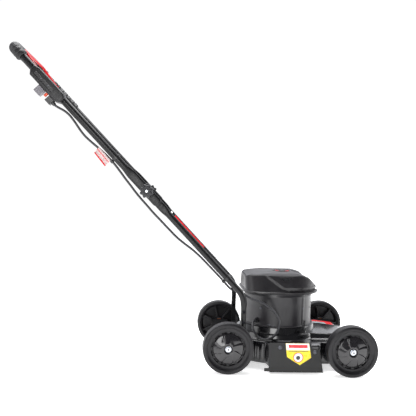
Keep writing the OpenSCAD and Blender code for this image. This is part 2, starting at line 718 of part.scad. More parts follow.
module stator() {
    color([0.55, 0.5, 0.45]) translate([0, 0, 140]) difference() {
        union() {
            cylinder(r = 80, h = 48);
            translate([0, 0, -8]) cylinder(r = 66, h = 62);
            for (a = shell_screw_as) rotate(a) translate([70, -6, 12]) cube([shell_r - 71.9, 12, 34]);
        }
        translate([0, 0, -10]) cylinder(r = 44, h = 80);
        for (a = shell_screw_as) rotate(a) translate([95, 0, shell_screw_z - 140]) rotate([0, 90, 0])
            cylinder(r = 2.1, h = 15);
    }
}

module bearings() {
    color([0.85, 0.85, 0.87]) for (z = [shell_z + 2.2, shell_top - 30.8]) translate([0, 0, z]) difference() {
        cylinder(r = 17.4, h = 10.6);
        translate([0, 0, -1]) cylinder(r = 7.5 + run, h = 13);
    }
}

module capacitor() {
    color([0.82, 0.82, 0.84]) translate([-62, 45, shell_top - 13.9]) {
        cylinder(r = 17, h = 62);
        for (y = [-5, 5]) translate([-3, y, 61]) cube([6, 1, 8]);
    }
}

module rotor() {
    color([0.5, 0.5, 0.52]) {
        translate([0, 0, 142]) cylinder(r = 43.4, h = 44);
        translate([0, 0, 48]) cylinder(r = 7.5, h = 174);
    }
}

// The cooling fan on the shaft's upper end
module fan() {
    color([0.15, 0.15, 0.16]) difference() {
        translate([0, 0, shell_top - 13]) {
            cylinder(r = 34, h = 2);
            cylinder(r = 13, h = 8.8);
            for (k = [0 : 7]) rotate(k * 45) translate([12, -1, 1]) cube([21.5, 2, 8]);
        }
        translate([0, 0, shell_top - 14]) cylinder(r = 7.5 + run, h = 12);
    }
}

// The boss that carries the blade on the shaft's lower end
module blade_boss() {
    color([0.3, 0.3, 0.32]) difference() {
        translate([0, 0, 48]) {
            cylinder(r = 24, h = 5);
            cylinder(r = 14, h = 30);
        }
        translate([0, 0, 47]) cylinder(r = 7.5 + run, h = 40);
    }
}

// The blade: a flat bar with its trailing edges turned up
module blade() {
    color([0.4, 0.4, 0.42]) difference() {
        union() {
            intersection() {
                translate([-blade_l / 2, -24, 44]) cube([blade_l, 48, 4]);
                cylinder(r = blade_l / 2, h = 60, $fn = 96);
            }
            for (a = [0, 180]) rotate(a) translate([blade_l / 2 - 62, 20, 48]) cube([56, 4, 9]);
        }
        translate([0, 0, 40]) cylinder(r = 5.1, h = 10);
    }
}

module blade_bolt() {
    color([0.75, 0.75, 0.77]) {
        translate([0, 0, 41.4]) cylinder(r = 16, h = 2.5);
        translate([0, 0, 34]) cylinder(r = 8.5, h = 7.3, $fn = 6);
        translate([0, 0, 41]) cylinder(r = 5, h = 6.8);
    }
}

// ---- one line per node ----

deck();
side_plate();
plate_bolts();
plate_label();
front_stripe();
bracket_front_right();
bracket_front_left();
bracket_rear_right();
bracket_rear_left();
wheel_bolts();
handle_bracket_right();
handle_bracket_left();
foot_bolts();
lower_tube_right();
lower_tube_left();
pivot_bolts();
lower_clip();
cable_lower();
gland();
motor_shell();
motor_cover();
top_vent();
motor_screws();
lower_bell();
upper_bell();
stator();
bearings();
capacitor();
rotor();
fan();
blade_boss();
blade();
blade_bolt();
wheel_front_right();
wheel_front_left();
wheel_rear_right();
wheel_rear_left();
hubcap_front_right();
hubcap_front_left();
hubcap_rear_right();
hubcap_rear_left();
knob_right();
knob_left();
upper_handle();
crossbar_grip();
left_leg_grip();
switch_box_outer();
switch_box_inner();
box_screws();
microswitch();
inlet_shroud();
inlet_pins();
cable_outlet();
bail_bracket();
upper_clip();
cable_upper();
cable_bend();
cable_tag();
lock_button();
bail_lever();
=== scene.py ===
"""A corded electric rotary mower in a plain studio. Metres: +X is forward, +Y the mower's left, +Z up."""

import json
import math

import bmesh
import bpy
from mathutils import Matrix, Vector


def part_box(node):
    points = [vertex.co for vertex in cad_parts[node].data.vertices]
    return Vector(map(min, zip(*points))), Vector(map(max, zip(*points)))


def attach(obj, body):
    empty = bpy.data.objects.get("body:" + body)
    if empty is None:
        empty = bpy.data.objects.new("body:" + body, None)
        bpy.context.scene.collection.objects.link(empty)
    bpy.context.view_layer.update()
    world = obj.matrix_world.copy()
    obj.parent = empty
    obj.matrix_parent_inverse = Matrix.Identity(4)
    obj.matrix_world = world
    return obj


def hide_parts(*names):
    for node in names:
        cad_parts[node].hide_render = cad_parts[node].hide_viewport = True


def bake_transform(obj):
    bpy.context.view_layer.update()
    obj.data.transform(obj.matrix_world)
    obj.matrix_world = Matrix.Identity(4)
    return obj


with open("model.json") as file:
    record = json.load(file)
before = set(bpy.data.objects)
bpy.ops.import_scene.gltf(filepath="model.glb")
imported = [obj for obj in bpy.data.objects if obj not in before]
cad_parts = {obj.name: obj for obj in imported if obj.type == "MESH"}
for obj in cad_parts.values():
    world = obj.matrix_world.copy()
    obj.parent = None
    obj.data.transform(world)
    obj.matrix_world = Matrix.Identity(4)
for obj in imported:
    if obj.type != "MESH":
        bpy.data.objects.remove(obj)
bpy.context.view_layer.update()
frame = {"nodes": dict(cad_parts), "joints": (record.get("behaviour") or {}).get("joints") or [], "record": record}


# ---- Camera ----
# A normal lens at chest height, on the mower's right. It looks almost level and is rolled by a degree.

camera = bpy.data.objects.new("camera", bpy.data.cameras.new("camera"))
bpy.context.scene.collection.objects.link(camera)
bpy.context.scene.camera = camera
camera.data.sensor_width = 36
camera.data.lens = 52.44
turned, lowered, rolled = math.radians(3.51), math.radians(1.74), math.radians(1.49)
looks = Vector((math.sin(turned) * math.cos(lowered), math.cos(turned) * math.cos(lowered),
                -math.sin(lowered)))
level = Vector((math.cos(turned), -math.sin(turned), 0))
raised = level.cross(looks)
camera_right = level * math.cos(rolled) + raised * math.sin(rolled)
camera_up = raised * math.cos(rolled) - level * math.sin(rolled)
camera.matrix_world = Matrix.Translation((-0.3552, -1.9571, 0.5443)) @ Matrix(
    (camera_right, camera_up, -looks)
).transposed().to_4x4()


# ---- Cable ----
# Two-core mains cable in a round black PVC sheath, 6.8 mm thick. It is clipped under the handle, crosses
# the folding pivot with some slack, hangs in one free loop and enters the motor's shell through a gland.

pivot = Vector(next(j for j in frame["joints"] if j["name"] == "handle_fold")["pos_m"])
up_leg = Vector(next(m for m in frame["record"]["mounts"] if m["name"] == "handle_tube")["axis"]).normalized()
across = Vector((up_leg.z, 0, -up_leg.x))


def on_leg(v, y, u):
    """A point beside the handle: v across it, y to the left, u up along it from the folding pivot."""
    return pivot + across * v + Vector((0, y, 0)) + up_leg * u


def add(material, kind, inputs=(), **settings):
    """Adds a node. Settings are its own properties; inputs are its sockets, each a value or another's output."""
    made = material.node_tree.nodes.new(kind)
    for setting, value in settings.items():
        setattr(made, setting, value)
    for socket, value in dict(inputs).items():
        if isinstance(value, bpy.types.NodeSocket):
            material.node_tree.links.new(value, made.inputs[socket])
        else:
            made.inputs[socket].default_value = value
    return made


def linear(hex_colour):
    """An sRGB hex colour as the linear one that the shader works in."""
    parts = [int(hex_colour[i : i + 2], 16) / 255 for i in (1, 3, 5)]
    return [c / 12.92 if c <= 0.04045 else ((c + 0.055) / 1.055) ** 2.4 for c in parts] + [1.0]


def grained(name, dark, pale, smooth, rough, grain_mm, depth_mm, cloud_mm=40, **inputs):
    """A material whose colour drifts between two shades over cloud_mm, with a surface grain of that size and
    depth, and a roughness that drifts with it. What is the same all over goes straight on the shader."""
    material = bpy.data.materials.new(name)
    material.use_nodes = True
    material.node_tree.nodes.clear()
    where = add(material, "ShaderNodeTexCoord").outputs["Object"]
    cloud = add(material, "ShaderNodeTexNoise", {"Vector": where, "Scale": 1000 / cloud_mm, "Detail": 4.0})
    grain = add(material, "ShaderNodeTexNoise", {"Vector": where, "Scale": 1000 / grain_mm, "Detail": 2.0})
    tint = add(material, "ShaderNodeMix", {0: cloud.outputs["Fac"], 6: linear(dark), 7: linear(pale)},
               data_type="RGBA")
    sheen = add(
        material, "ShaderNodeMapRange",
        {"Value": cloud.outputs["Fac"], "From Min": 0.3, "From Max": 0.7, "To Min": smooth,
         "To Max": rough},
    )
    relief = add(
        material, "ShaderNodeBump",
        {"Height": grain.outputs["Fac"], "Distance": depth_mm / 1000, "Strength": 1.0},
    )
    sockets = {
        "Base Color": tint.outputs[2],
        "Roughness": sheen.outputs["Result"],
        "Normal": relief.outputs["Normal"],
        **{socket.replace("_", " "): value for socket, value in inputs.items()},
    }
    shader = add(material, "ShaderNodeBsdfPrincipled", sockets)
    add(material, "ShaderNodeOutputMaterial", {"Surface": shader.outputs["BSDF"]})
    return material


def mesh_object(name, bm):
    """Turns a bmesh into an object, with its faces turned outwards."""
    bmesh.ops.recalc_face_normals(bm, faces=bm.faces)
    mesh = bpy.data.meshes.new(name)
    bm.to_mesh(mesh)
    bm.free()
    made = bpy.data.objects.new(name, mesh)
    bpy.context.scene.collection.objects.link(made)
    return made


def rings_along(line, side, outline):
    """Rings that stand square to a line. side is their sideways direction, and outline(i) ring i's offsets."""
    rings = []
    for i, point in enumerate(line):
        heading = (line[min(i + 1, len(line) - 1)] - line[max(i - 1, 0)]).normalized()
        side = (side - heading * side.dot(heading)).normalized()
        over = heading.cross(side)
        rings.append([point + side * a + over * b for a, b in outline(i)])
    return rings


def skin(name, rings, closed=False):
    """A mesh over rings of points. It is capped at both ends, or closed from the last ring to the first."""
    bm = bmesh.new()
    rows = [[bm.verts.new(point) for point in ring] for ring in rings]
    pairs = list(zip(rows, rows[1:])) + ([(rows[-1], rows[0])] if closed else [])
    for low, high in pairs:
        for k in range(len(low)):
            nxt = (k + 1) % len(low)
            bm.faces.new((low[k], low[nxt], high[nxt], high[k]))
    if not closed:
        bm.faces.new(list(reversed(rows[0])))
        bm.faces.new(rows[-1])
    return mesh_object(name, bm)


def circle(radius, sides=24):
    return [
        (radius * math.cos(math.tau * k / sides),
         radius * math.sin(math.tau * k / sides)) for k in range(sides)
    ]


def finish_surface(piece, material, replaces=(), crease=35):
    """Smooth shading with creases above an angle, the surface itself, and the CAD nodes it stands for."""
    piece.data.materials.clear()
    piece.data.materials.append(material)
    piece.data.shade_smooth()
    piece.data.set_sharp_from_angle(angle=math.radians(crease))
    if replaces:
        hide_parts(*replaces)
    return piece


def smooth_line(points, steps):
    """A Catmull-Rom curve through the points, with that many steps from each to the next."""
    line = []
    for i in range(len(points) - 1):
        before, start, end, after = (points[max(0, min(len(points) - 1, i + k))] for k in (-1, 0, 1, 2))
        for k in range(steps):
            t = k / steps
            line.append(
                0.5
                * (
                    2 * start
                    + (end - before) * t
                    + (2 * before - 5 * start + 4 * end - after) * t * t
                    + (3 * start - before - 3 * end + after) * t**3
                )
            )
    return line + [points[-1]]


# extruded PVC: it gives a thin bright line along the cable, broken by a faint waviness
sheath = grained("extruded_pvc", "#242427", "#323236", 0.3, 0.42, 1.2, 0.05, IOR=1.53)
cable_radius = 0.0034
upper_route = [
    (-0.027, -0.170, 0.368), (-0.027, -0.170, 0.361), (-0.024, -0.167, 0.350), (-0.0185, -0.161, 0.334),
    (-0.016, -0.158, 0.315), (-0.018, -0.158, 0.291), (-0.022, -0.159, 0.265), (-0.024, -0.159, 0.241),
    (-0.022, -0.158, 0.214), (-0.019, -0.157, 0.190), (-0.0165, -0.156, 0.160), (-0.016, -0.1555, 0.133),
    (-0.017, -0.155, 0.114), (-0.019, -0.154, 0.095), (-0.022, -0.153, 0.070),
]
bend_route = [
    (-0.022, -0.153, 0.070), (-0.024, -0.152, 0.047), (-0.027, -0.1495, 0.020), (-0.0285, -0.146, -0.005),
    (-0.029, -0.144, -0.0297),
]
lower_route = [
    (-0.029, -0.144, -0.030), (-0.030, -0.1435, -0.060), (-0.0295, -0.144, -0.091),
    (-0.029, -0.1445, -0.133),
    (-0.028, -0.145, -0.163), (-0.024, -0.144, -0.192), (-0.019, -0.1435, -0.220), (-0.016, -0.143, -0.253),
    (-0.015, -0.143, -0.295), (-0.0145, -0.143, -0.330), (-0.0145, -0.143, -0.355),
    (-0.015, -0.1425, -0.380),
]
loop_route = [
    (-0.161, -0.134, 0.241), (-0.148, -0.128, 0.237), (-0.133, -0.126, 0.231), (-0.118, -0.1255, 0.223),
    (-0.104, -0.125, 0.215), (-0.089, -0.1245, 0.210), (-0.074, -0.124, 0.204), (-0.061, -0.124, 0.198),
    (-0.049, -0.124, 0.190), (-0.039, -0.124, 0.183), (-0.030, -0.124, 0.174), (-0.022, -0.124, 0.163),
    (-0.017, -0.124, 0.153), (-0.014, -0.126, 0.141), (-0.015, -0.129, 0.130), (-0.019, -0.132, 0.120),
    (-0.024, -0.1345, 0.112), (-0.031, -0.136, 0.104), (-0.039, -0.1365, 0.098), (-0.048, -0.1365, 0.094),
    (-0.057, -0.1355, 0.092), (-0.066, -0.133, 0.093), (-0.075, -0.129, 0.096), (-0.083, -0.124, 0.102),
    (-0.089, -0.118, 0.110), (-0.093, -0.111, 0.119), (-0.094, -0.103, 0.128), (-0.091, -0.095, 0.135),
    (-0.086, -0.0875, 0.138), (-0.0806, -0.0806, 0.138),
]
cable_steps = 4
whole_route = [on_leg(*p) for p in upper_route + bend_route[1:] + lower_route[1:]] + [Vector(p) for p in loop_route]
cable_rings = rings_along(smooth_line(whole_route, cable_steps), across, lambda i: circle(cable_radius, 16))
bend_first = (len(upper_route) - 1) * cable_steps
bend_last = bend_first + (len(bend_route) - 1) * cable_steps
cable_on_handle = finish_surface(
    skin("cable_on_handle", cable_rings[: bend_first + 1]), sheath, ["cable_upper"]
)
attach(cable_on_handle, "handle")
cable_at_pivot = finish_surface(
    skin("cable_at_pivot", cable_rings[bend_first : bend_last + 1]), sheath, ["cable_bend"]
)
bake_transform(cable_at_pivot)
cable_to_motor = finish_surface(
    skin("cable_to_motor", cable_rings[bend_last:]), sheath, ["cable_lower"]
)
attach(cable_to_motor, "chassis")


# ---- Deck ----
# The blade's housing, pressed from 2 mm steel sheet and enamelled black. A round pan carries the motor on
# a stepped plinth; a hood runs forward from it, and a side chute and a rear end widen the skirt.

# stove enamel on pressed steel: deep black, with a broad gloss and a slight orange peel
enamel = grained(
    "stove_enamel", "#08080A", "#101013", 0.14, 0.24, 2.5, 0.03, IOR=1.5, Coat_Weight=0.4,
    Coat_Roughness=0.08
)
deck_low, deck_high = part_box("deck")
sheet = 0.002
pan_radius, plinth_top = 0.160, 0.1185
deck_top = 0.088
step_height, plinth_height = 0.104, deck_high.z
hood_half, hood_end = 0.105, 0.214


def in_rounded_box(x, y, x0, x1, half_y0, half_y1, corner):
    """Whether a point lies in a rectangle with round corners."""
    dx = max(x0 + corner - x, x - x1 + corner, 0)
    dy = max(half_y0 + corner - y, y - half_y1 + corner, 0)
    return math.hypot(dx, dy) <= corner


def in_deck(x, y):
    return (
        math.hypot(x, y) <= pan_radius
        or in_rounded_box(x, y, -0.020, deck_high.x, -0.150, 0.150, 0.050)
        or in_rounded_box(x, y, deck_low.x, 0.0, -0.118, 0.118, 0.030)
        or in_rounded_box(x, y, -0.056, 0.104, deck_low.y, 0.0, 0.004)
    )


def deck_reach(angle):
    """How far the deck's edge lies from the shaft in one direction, found by halving."""
    near, far = 0.1, 0.3
    for _ in range(18):
        middle = (near + far) / 2
        if in_deck(middle * math.cos(angle), middle * math.sin(angle)):
            near = middle
        else:
            far = middle
    return near


def ease(value, start, end):
    """0 before start, 1 after end, and an S-curve between them."""
    t = max(0.0, min(1.0, (value - start) / (end - start)))
    return t * t * (3 - 2 * t)


def deck_height(x, y):
    """Height of the deck's upper side: flat sheet, then the hood, then the plinth's two steps."""
    radius = math.hypot(x, y)
    hood_line = 0.1065 - 0.0024 * ease(x, 0.04, 0.150) - 0.008 * max(0.0, (x - 0.150) / 0.064)
    along = 1 - ease(x, hood_end - 0.004, deck_high.x - 0.004)
    sideways = 1 - ease(abs(y), hood_half - 0.008, hood_half)
    hood = (hood_line - deck_top) * along * sideways * ease(x, 0.02, 0.06)
    step = (step_height - deck_top) * (1 - ease(radius, 0.1325, 0.1385))
    top = (plinth_height - step_height) * (1 - ease(radius, plinth_top - 0.0015, plinth_top + 0.003))
    return deck_top + max(hood, step) + top


deck_sides = 360
reaches = [deck_reach(math.tau * k / deck_sides) for k in range(deck_sides)]
# the die rounds every inner corner, so each reach is blended with its neighbours
reaches = [sum(reaches[(k + d) % deck_sides] for d in (-2, -1, 0, 1, 2)) / 5 for k in range(deck_sides)]


def skirt_rib(angle, z):
    """Upright ribs pressed into the skirt behind the side plate, 3 mm deep."""
    place = (math.degrees(angle) % 360 - 229) / 5
    if not -0.5 < place < 4.5:
        return 0
    return 0.003 * math.cos(math.pi * (place - round(place))) ** 2 * ease(z, 0.026,
                                                                          0.034) * (1 - ease(z, 0.068,
                                                                                             0.076))


deck_rings = []
for z in (deck_low.z, 0.0245, 0.028, 0.034, 0.045, 0.057, 0.068, 0.076, 0.082, 0.0845):
    lip = 0.002 * (1 - ease(z, 0.022, 0.0255))
    ring = []
    for k, reach in enumerate(reaches):
        angle = math.tau * k / deck_sides
        out = reach - lip + skirt_rib(angle, z)
        ring.append(Vector((out * math.cos(angle), out * math.sin(angle), z)))
    deck_rings.append(ring)
for inset, drop in ((0.0006, 0.0018), (0.0018, 0.0006), (0.0036, 0)):
    ring = []
    for k, reach in enumerate(reaches):
        angle = math.tau * k / deck_sides
        ring.append(Vector(((reach - inset) * math.cos(angle), (reach - inset) * math.sin(angle),
                            deck_top - drop)))
    deck_rings.append(ring)
shares = [i / 26 for i in range(1, 27)]
inner_radii = [0.1405, 0.139, 0.1375, 0.136, 0.1345, 0.133, 0.1315, 0.128, 0.1245, 0.1225, 0.121, 0.1197,
               0.1185,
               0.1173, 0.116, 0.112, 0.105, 0.095, 0.080, 0.060, 0.045, 0.031]
for share in shares:
    ring = []
    for k, reach in enumerate(reaches):
        angle = math.tau * k / deck_sides
        radius = (reach - 0.0036) * (1 - share) + 0.142 * share
        x, y = radius * math.cos(angle), radius * math.sin(angle)
        ring.append(Vector((x, y, deck_height(x, y))))
    deck_rings.append(ring)
for radius in inner_radii:
    ring = []
    for k in range(deck_sides):
        angle = math.tau * k / deck_sides
        x, y = radius * math.cos(angle), radius * math.sin(angle)
        ring.append(Vector((x, y, deck_height(x, y))))
    deck_rings.append(ring)
outer_skin = bmesh.new()
rows = [[outer_skin.verts.new(p) for p in ring] for ring in deck_rings]
for low, high in zip(rows, rows[1:]):
    for k in range(deck_sides):
        nxt = (k + 1) % deck_sides
        outer_skin.faces.new((low[k], low[nxt], high[nxt], high[k]))
deck_pressing = mesh_object("deck_pressing", outer_skin)
thick = deck_pressing.modifiers.new("sheet", "SOLIDIFY")
thick.thickness = sheet
thick.offset = -1
finish_surface(deck_pressing, enamel, ["deck"], 50)
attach(deck_pressing, "chassis")


# ---- Side plate, its bolts and its label ----
# A flat 2 mm steel flap that closes the side chute. Two zinc-plated round-head bolts hold it to the deck.


def eased(node, name, width, segments=2):
    """A CAD part's own shape with its edges eased, as bending, moulding or tumbling leaves them."""
    bm = bmesh.new()
    bm.from_mesh(frame["nodes"][node].data)
    bmesh.ops.remove_doubles(bm, verts=bm.verts, dist=2e-6)
    bmesh.ops.dissolve_limit(bm, angle_limit=math.radians(0.8), verts=bm.verts, edges=bm.edges)
    piece = mesh_object(name, bm)
    bevel = piece.modifiers.new("eased_edges", "BEVEL")
    bevel.width = width
    bevel.segments = segments
    bevel.limit_method = "ANGLE"
    bevel.angle_limit = math.radians(38)
    return piece


# satin powder coat: black, with a fine pebble that breaks up the highlights
powder_coat = grained("powder_coat", "#08080A", "#0E0E10", 0.28, 0.38, 0.9, 0.03, IOR=1.42)
# bright zinc plate: a cool silver with faint cloudy patches
zinc = grained("bright_zinc", "#B9BEC6", "#DADDE2", 0.2, 0.34, 1.5, 0.01, 8, Metallic=1.0)
dull_zinc = grained("dull_zinc", "#4A4B50", "#66676C", 0.34, 0.5, 1.5, 0.02, 8, Metallic=1.0)
plate_paint = grained("plate_paint", "#0F0F10", "#171717", 0.38, 0.52, 1.1, 0.05, 25, IOR=1.45)
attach(finish_surface(eased("side_plate", "side_flap", 0.0006), plate_paint,
                       ["side_plate"]), "chassis")
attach(finish_surface(eased("plate_bolts", "flap_bolts", 0.0008), dull_zinc,
                       ["plate_bolts"]), "chassis")


def printed(name, ink):
    """Printed vinyl: one flat ink under a clear film, with a slight mottle from the print."""
    return grained(name, ink, ink, 0.22, 0.32, 0.6, 0.01, 12, Coat_Weight=0.3, Coat_Roughness=0.1)


white_film = printed("white_vinyl", "#F4F2EE")
yellow_film = printed("yellow_vinyl", "#F5D90A")
red_film = printed("red_vinyl", "#DE1B26")
# this dark film prints the label's dark marks, and also serves as painted shade for the wheel-bolt sockets and the
# side vents' slots
shade_and_print_film = printed("dark_vinyl_print_and_painted_shade", "#1B1B1D")
label_low, label_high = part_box("plate_label")


def film(name, outline, layer, material, replaces=()):
    """One printed patch on the side plate: an outline in x and z, a layer above the plate."""
    face = label_low.y - 0.00012 * layer
    rings = [[Vector((x, y, z)) for x, z in outline] for y in (label_high.y + 0.0001, face)]
    patch = finish_surface(skin(name, rings), material, replaces)
    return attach(patch, "chassis")


def label_round(radius, z):
    middle = (label_low.x + label_high.x) / 2
    return [(middle + a, z + b) for a, b in circle(radius, 40)]


film("label_field", [(-0.005, 0.094), (0.066, 0.094), (0.073, 0.051), (0.0395, 0.029), (0.0, 0.053)], 0,
     yellow_film,
     ["plate_label"])
film("label_head", [(-0.0044, 0.0936), (0.0655, 0.0936), (0.0690, 0.0735), (-0.0018, 0.0735)], 1,
     white_film)
film("label_bar", [(0.004, 0.0895), (0.0605, 0.0895), (0.0615, 0.0800), (0.005, 0.0800)], 2, red_film)
film("label_rule", [(0.004, 0.0712), (0.0635, 0.0712), (0.0638, 0.0695), (0.0042, 0.0695)], 2, shade_and_print_film)
film("label_ring", label_round(0.0150, 0.0515), 1, red_film)
film("label_disc", label_round(0.0128, 0.0515), 2, white_film)
film("label_dot", label_round(0.0062, 0.0505), 3, shade_and_print_film)


# ---- Hood stripe ----
# A printed vinyl decal on the far half of the hood: pale grey with red bands.


def hood_patch(name, x0, x1, y0, y1, skew, material, layer, replaces=()):
    """A thin patch that follows the hood's top, with its front edge shifted sideways by skew."""
    bm = bmesh.new()
    rows = []
    for i in range(9):
        x = x0 + (x1 - x0) * i / 8
        row = []
        for k in range(9):
            y = y0 + (y1 - y0) * k / 8 + skew * i / 8
            row.append(bm.verts.new((x, y, deck_height(x, y) + 0.0003 + 0.0001 * layer)))
        rows.append(row)
    for low, high in zip(rows, rows[1:]):
        for k in range(8):
            bm.faces.new((low[k], low[k + 1], high[k + 1], high[k]))
    patch = mesh_object(name, bm)
    skirt = patch.modifiers.new("film", "SOLIDIFY")
    skirt.thickness = 0.0003
    skirt.offset = -1
    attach(finish_surface(patch, material, replaces), "chassis")


grey_film = printed("grey_vinyl", "#9AA7AB")
hood_patch("stripe_ground", 0.132, 0.206, 0.050, 0.097, 0.0, grey_film, 0, ["front_stripe"])
hood_patch("stripe_wide", 0.132, 0.206, 0.074, 0.094, 0.003, red_film, 1)
hood_patch("stripe_thin", 0.178, 0.204, 0.050, 0.074, 0.003, red_film, 1)


# ---- Wheels ----
# Four 152 mm wheels of blow-moulded polyethylene with a knurled tread, each on a shoulder bolt. A glossy
# domed cap with curved flutes snaps into the outer face; the inner face shows the hub and its spokes.

# moulded polyethylene: waxy dark grey, semi-gloss
polyethylene = grained("moulded_polyethylene", "#121114", "#19181B", 0.36, 0.48, 1.6, 0.05, IOR=1.42)
# glossy ABS: it mirrors the lamps in its flutes
gloss_abs = grained("gloss_abs", "#151417", "#1D1B1E", 0.12, 0.2, 2.0, 0.02, 30, IOR=1.54, Coat_Weight=0.3,
                    Coat_Roughness=0.06)
# grease that has crept out of the bush, over the hub
greased = grained("greased_bush", "#3A1C0A", "#8A4A1C", 0.35, 0.6, 1.0, 0.1, 6, IOR=1.47)
wheel_radius = (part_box("wheel_rear_right")[1].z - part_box("wheel_rear_right")[0].z) / 2


def lathe(name, profile, place, sides=96, closed=True):
    """A turned shape: a profile of (radius, height) round its own axis, put in place by a matrix."""
    rings = [
        [place @ Vector((r * math.cos(math.tau * k / sides), r * math.sin(math.tau * k / sides),
                         h)) for k in range(sides)]
        for r, h in profile
    ]
    return skin(name, rings, closed)


def wheel_place(side, x, y):
    """A frame whose height axis points out of the wheel's outer face."""
    return Matrix.Translation((x, y, wheel_radius)) @ Matrix.Rotation(-side * math.pi / 2, 4, "X")


def join(name, pieces):
    """Joins the meshes of several pieces into one object."""
    bm = bmesh.new()
    for piece in pieces:
        bm.from_mesh(piece.data)
        bpy.data.objects.remove(piece)
    return mesh_object(name, bm)


def tread_ring(name, place):
    """The wheel's outer band. Its tread carries small blocks in staggered rows, 0.7 mm high."""
    around, knurls = 288, 72
    section = [(0.0610, -0.0150), (0.0670, -0.0190), (0.0712, -0.0189), (0.0738, -0.0178),
               (0.0750, -0.0166)]
    rows_across = [-0.0150, -0.0118, -0.0113, -0.0066, -0.0061, -0.0015, 0.0015, 0.0061, 0.0066, 0.0113,
                   0.0118, 0.0150]
    face = [(0.0750, 0.0166), (0.0738, 0.0178), (0.0712, 0.0187), (0.0680, 0.0190), (0.0658, 0.0188),
            (0.0645, 0.0180),
            (0.0632, 0.0163), (0.0605, 0.0142), (0.0575, 0.0130), (0.0545, 0.0126), (0.0520, 0.0124),
            (0.0512, 0.0118),
            (0.0508, 0.0070), (0.0500, 0.0055), (0.0450, 0.0050)]
    back = [(0.0450, 0.0020), (0.0560, 0.0020), (0.0585, 0.0000), (0.0595, -0.0060)]
    rings = []
    for r, h in section:
        rings.append([(r, h)] * around)
    for i, h in enumerate(rows_across):
        ring = []
        for k in range(around):
            phase = (k * knurls / around + 0.5 * ((i // 2) % 2)) % 1
            cut_here = 0.0009 if (phase < 0.25 or i in (0, 11)) else 0.0002
            ring.append((wheel_radius - cut_here, h))
        rings.append(ring)
    for r, h in face + back:
        rings.append([(r, h)] * around)
    placed = [
        [place @ Vector((r * math.cos(math.tau * k / around), r * math.sin(math.tau * k / around), h))
         for k, (r, h) in enumerate(ring)]
        for ring in rings
    ]
    return skin(name, placed, closed=True)


def wheel_core(place):
    """Web and hub, with seven ribbed spokes on the inner side."""
    core = [lathe("hub", [(0.0061, -0.018), (0.0185, -0.018), (0.0195, -0.017), (0.0205, 0.002),
                          (0.0460, 0.002),
                          (0.0460, 0.0055), (0.0200, 0.0055), (0.0190, 0.0140), (0.0061, 0.0140)], place)]
    for k in range(7):
        turn = place @ Matrix.Rotation(math.tau * k / 7, 4, "Z")
        half_in, half_out = 0.0032, 0.0022
        ends = [(0.0185, half_in), (0.0600, half_out)]
        rings = [
            [turn @ Vector((r, w, 0.0028)), turn @ Vector((r, w, -0.0120)),
             turn @ Vector((r, w * 0.5, -0.0135)),
             turn @ Vector((r, -w * 0.5, -0.0135)), turn @ Vector((r, -w, -0.0120)),
             turn @ Vector((r, -w, 0.0028))]
            for r, w in ends
        ]
        core.append(skin("spoke", rings))
    return core


def fluted_cap(name, place):
    """The snap-in cap: a dome with eight curved flutes round a recess for the bolt, over a ring of slots."""
    around, flutes = 192, 8
    radii = [0.0470, 0.0462, 0.0450, 0.0435, 0.0415, 0.0390, 0.0360, 0.0325, 0.0290, 0.0255, 0.0220, 0.0185,
             0.0155,
             0.0138, 0.0128, 0.0122]
    rings = []
    for r in radii:
        dome = 0.0212 - 0.0100 * (r / 0.047) ** 2 - 0.0050 * ease(r, 0.0440, 0.0475)
        dome -= 0.0016 * (1 - ease(r, 0.0120, 0.0150))
        ring = []
        for k in range(around):
            angle = math.tau * k / around
            phase = (flutes * (angle + 9.0 * r) / math.tau) % 1
            wave = phase / 0.86 if phase < 0.86 else (1 - phase) / 0.14
            depth = 0.0022 * ease(r, 0.0130, 0.0260) * (1 - ease(r, 0.0440, 0.0465))
            ring.append(place @ Vector((r * math.cos(angle), r * math.sin(angle),
                                        dome - depth * (1 - wave))))
        rings.append(ring)
    for r, h in [(0.0122, 0.0100), (0.0118, 0.0092), (0.0062, 0.0090), (0.0062, 0.0080), (0.0450, 0.0080),
                 (0.0470, 0.0090)]:
        rings.append([place @ Vector((r * math.cos(math.tau * k / around),
                                      r * math.sin(math.tau * k / around), h))
                      for k in range(around)])
    return skin(name, rings, closed=True)


def retaining_tabs(place):
    """Short tabs between the slots at the cap's edge."""
    tabs = []
    for k in range(12):
        rings = []
        for r in (0.0462, 0.0512):
            turn = [place @ Matrix.Rotation(math.tau * (k + d) / 12, 4, "Z") for d in (-0.16, 0.16)]
            rings.append([turn[0] @ Vector((r, 0, 0.0075)), turn[0] @ Vector((r, 0, 0.0108)),
                          turn[1] @ Vector((r, 0, 0.0108)), turn[1] @ Vector((r, 0, 0.0075))])
        tabs.append(skin("tab", rings))
    return tabs


for end in ("front", "rear"):
    for hand, side in (("right", -1), ("left", 1)):
        corner = f"{end}_{hand}"
        low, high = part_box(f"wheel_{corner}")
        place = wheel_place(side, (low.x + high.x) / 2, (low.y + high.y) / 2)
        body = f"{corner}_wheel"
        tyre = join(f"moulded_wheel_{corner}",
                    [tread_ring("tread", place)] + wheel_core(place) + retaining_tabs(place))
        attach(finish_surface(tyre, polyethylene, [f"wheel_{corner}"], 30), body)
        cap = fluted_cap(f"fluted_cap_{corner}", place)
        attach(finish_surface(cap, gloss_abs, [f"hubcap_{corner}"], 32), body)
        bush = lathe(f"bush_{corner}", [(0.0063, -0.0184), (0.0150, -0.0184), (0.0168, -0.0178),
                                        (0.0175, -0.0150),
                                        (0.0063, -0.0150)], place, 48)
        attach(finish_surface(bush, greased), body)


# ---- Wheel bolts and brackets ----
# A 12 mm zinc-plated shoulder bolt with a socket head carries each wheel. It is screwed through a folded
# steel bracket that is welded on the deck; a second hole lower down sets another cutting height.

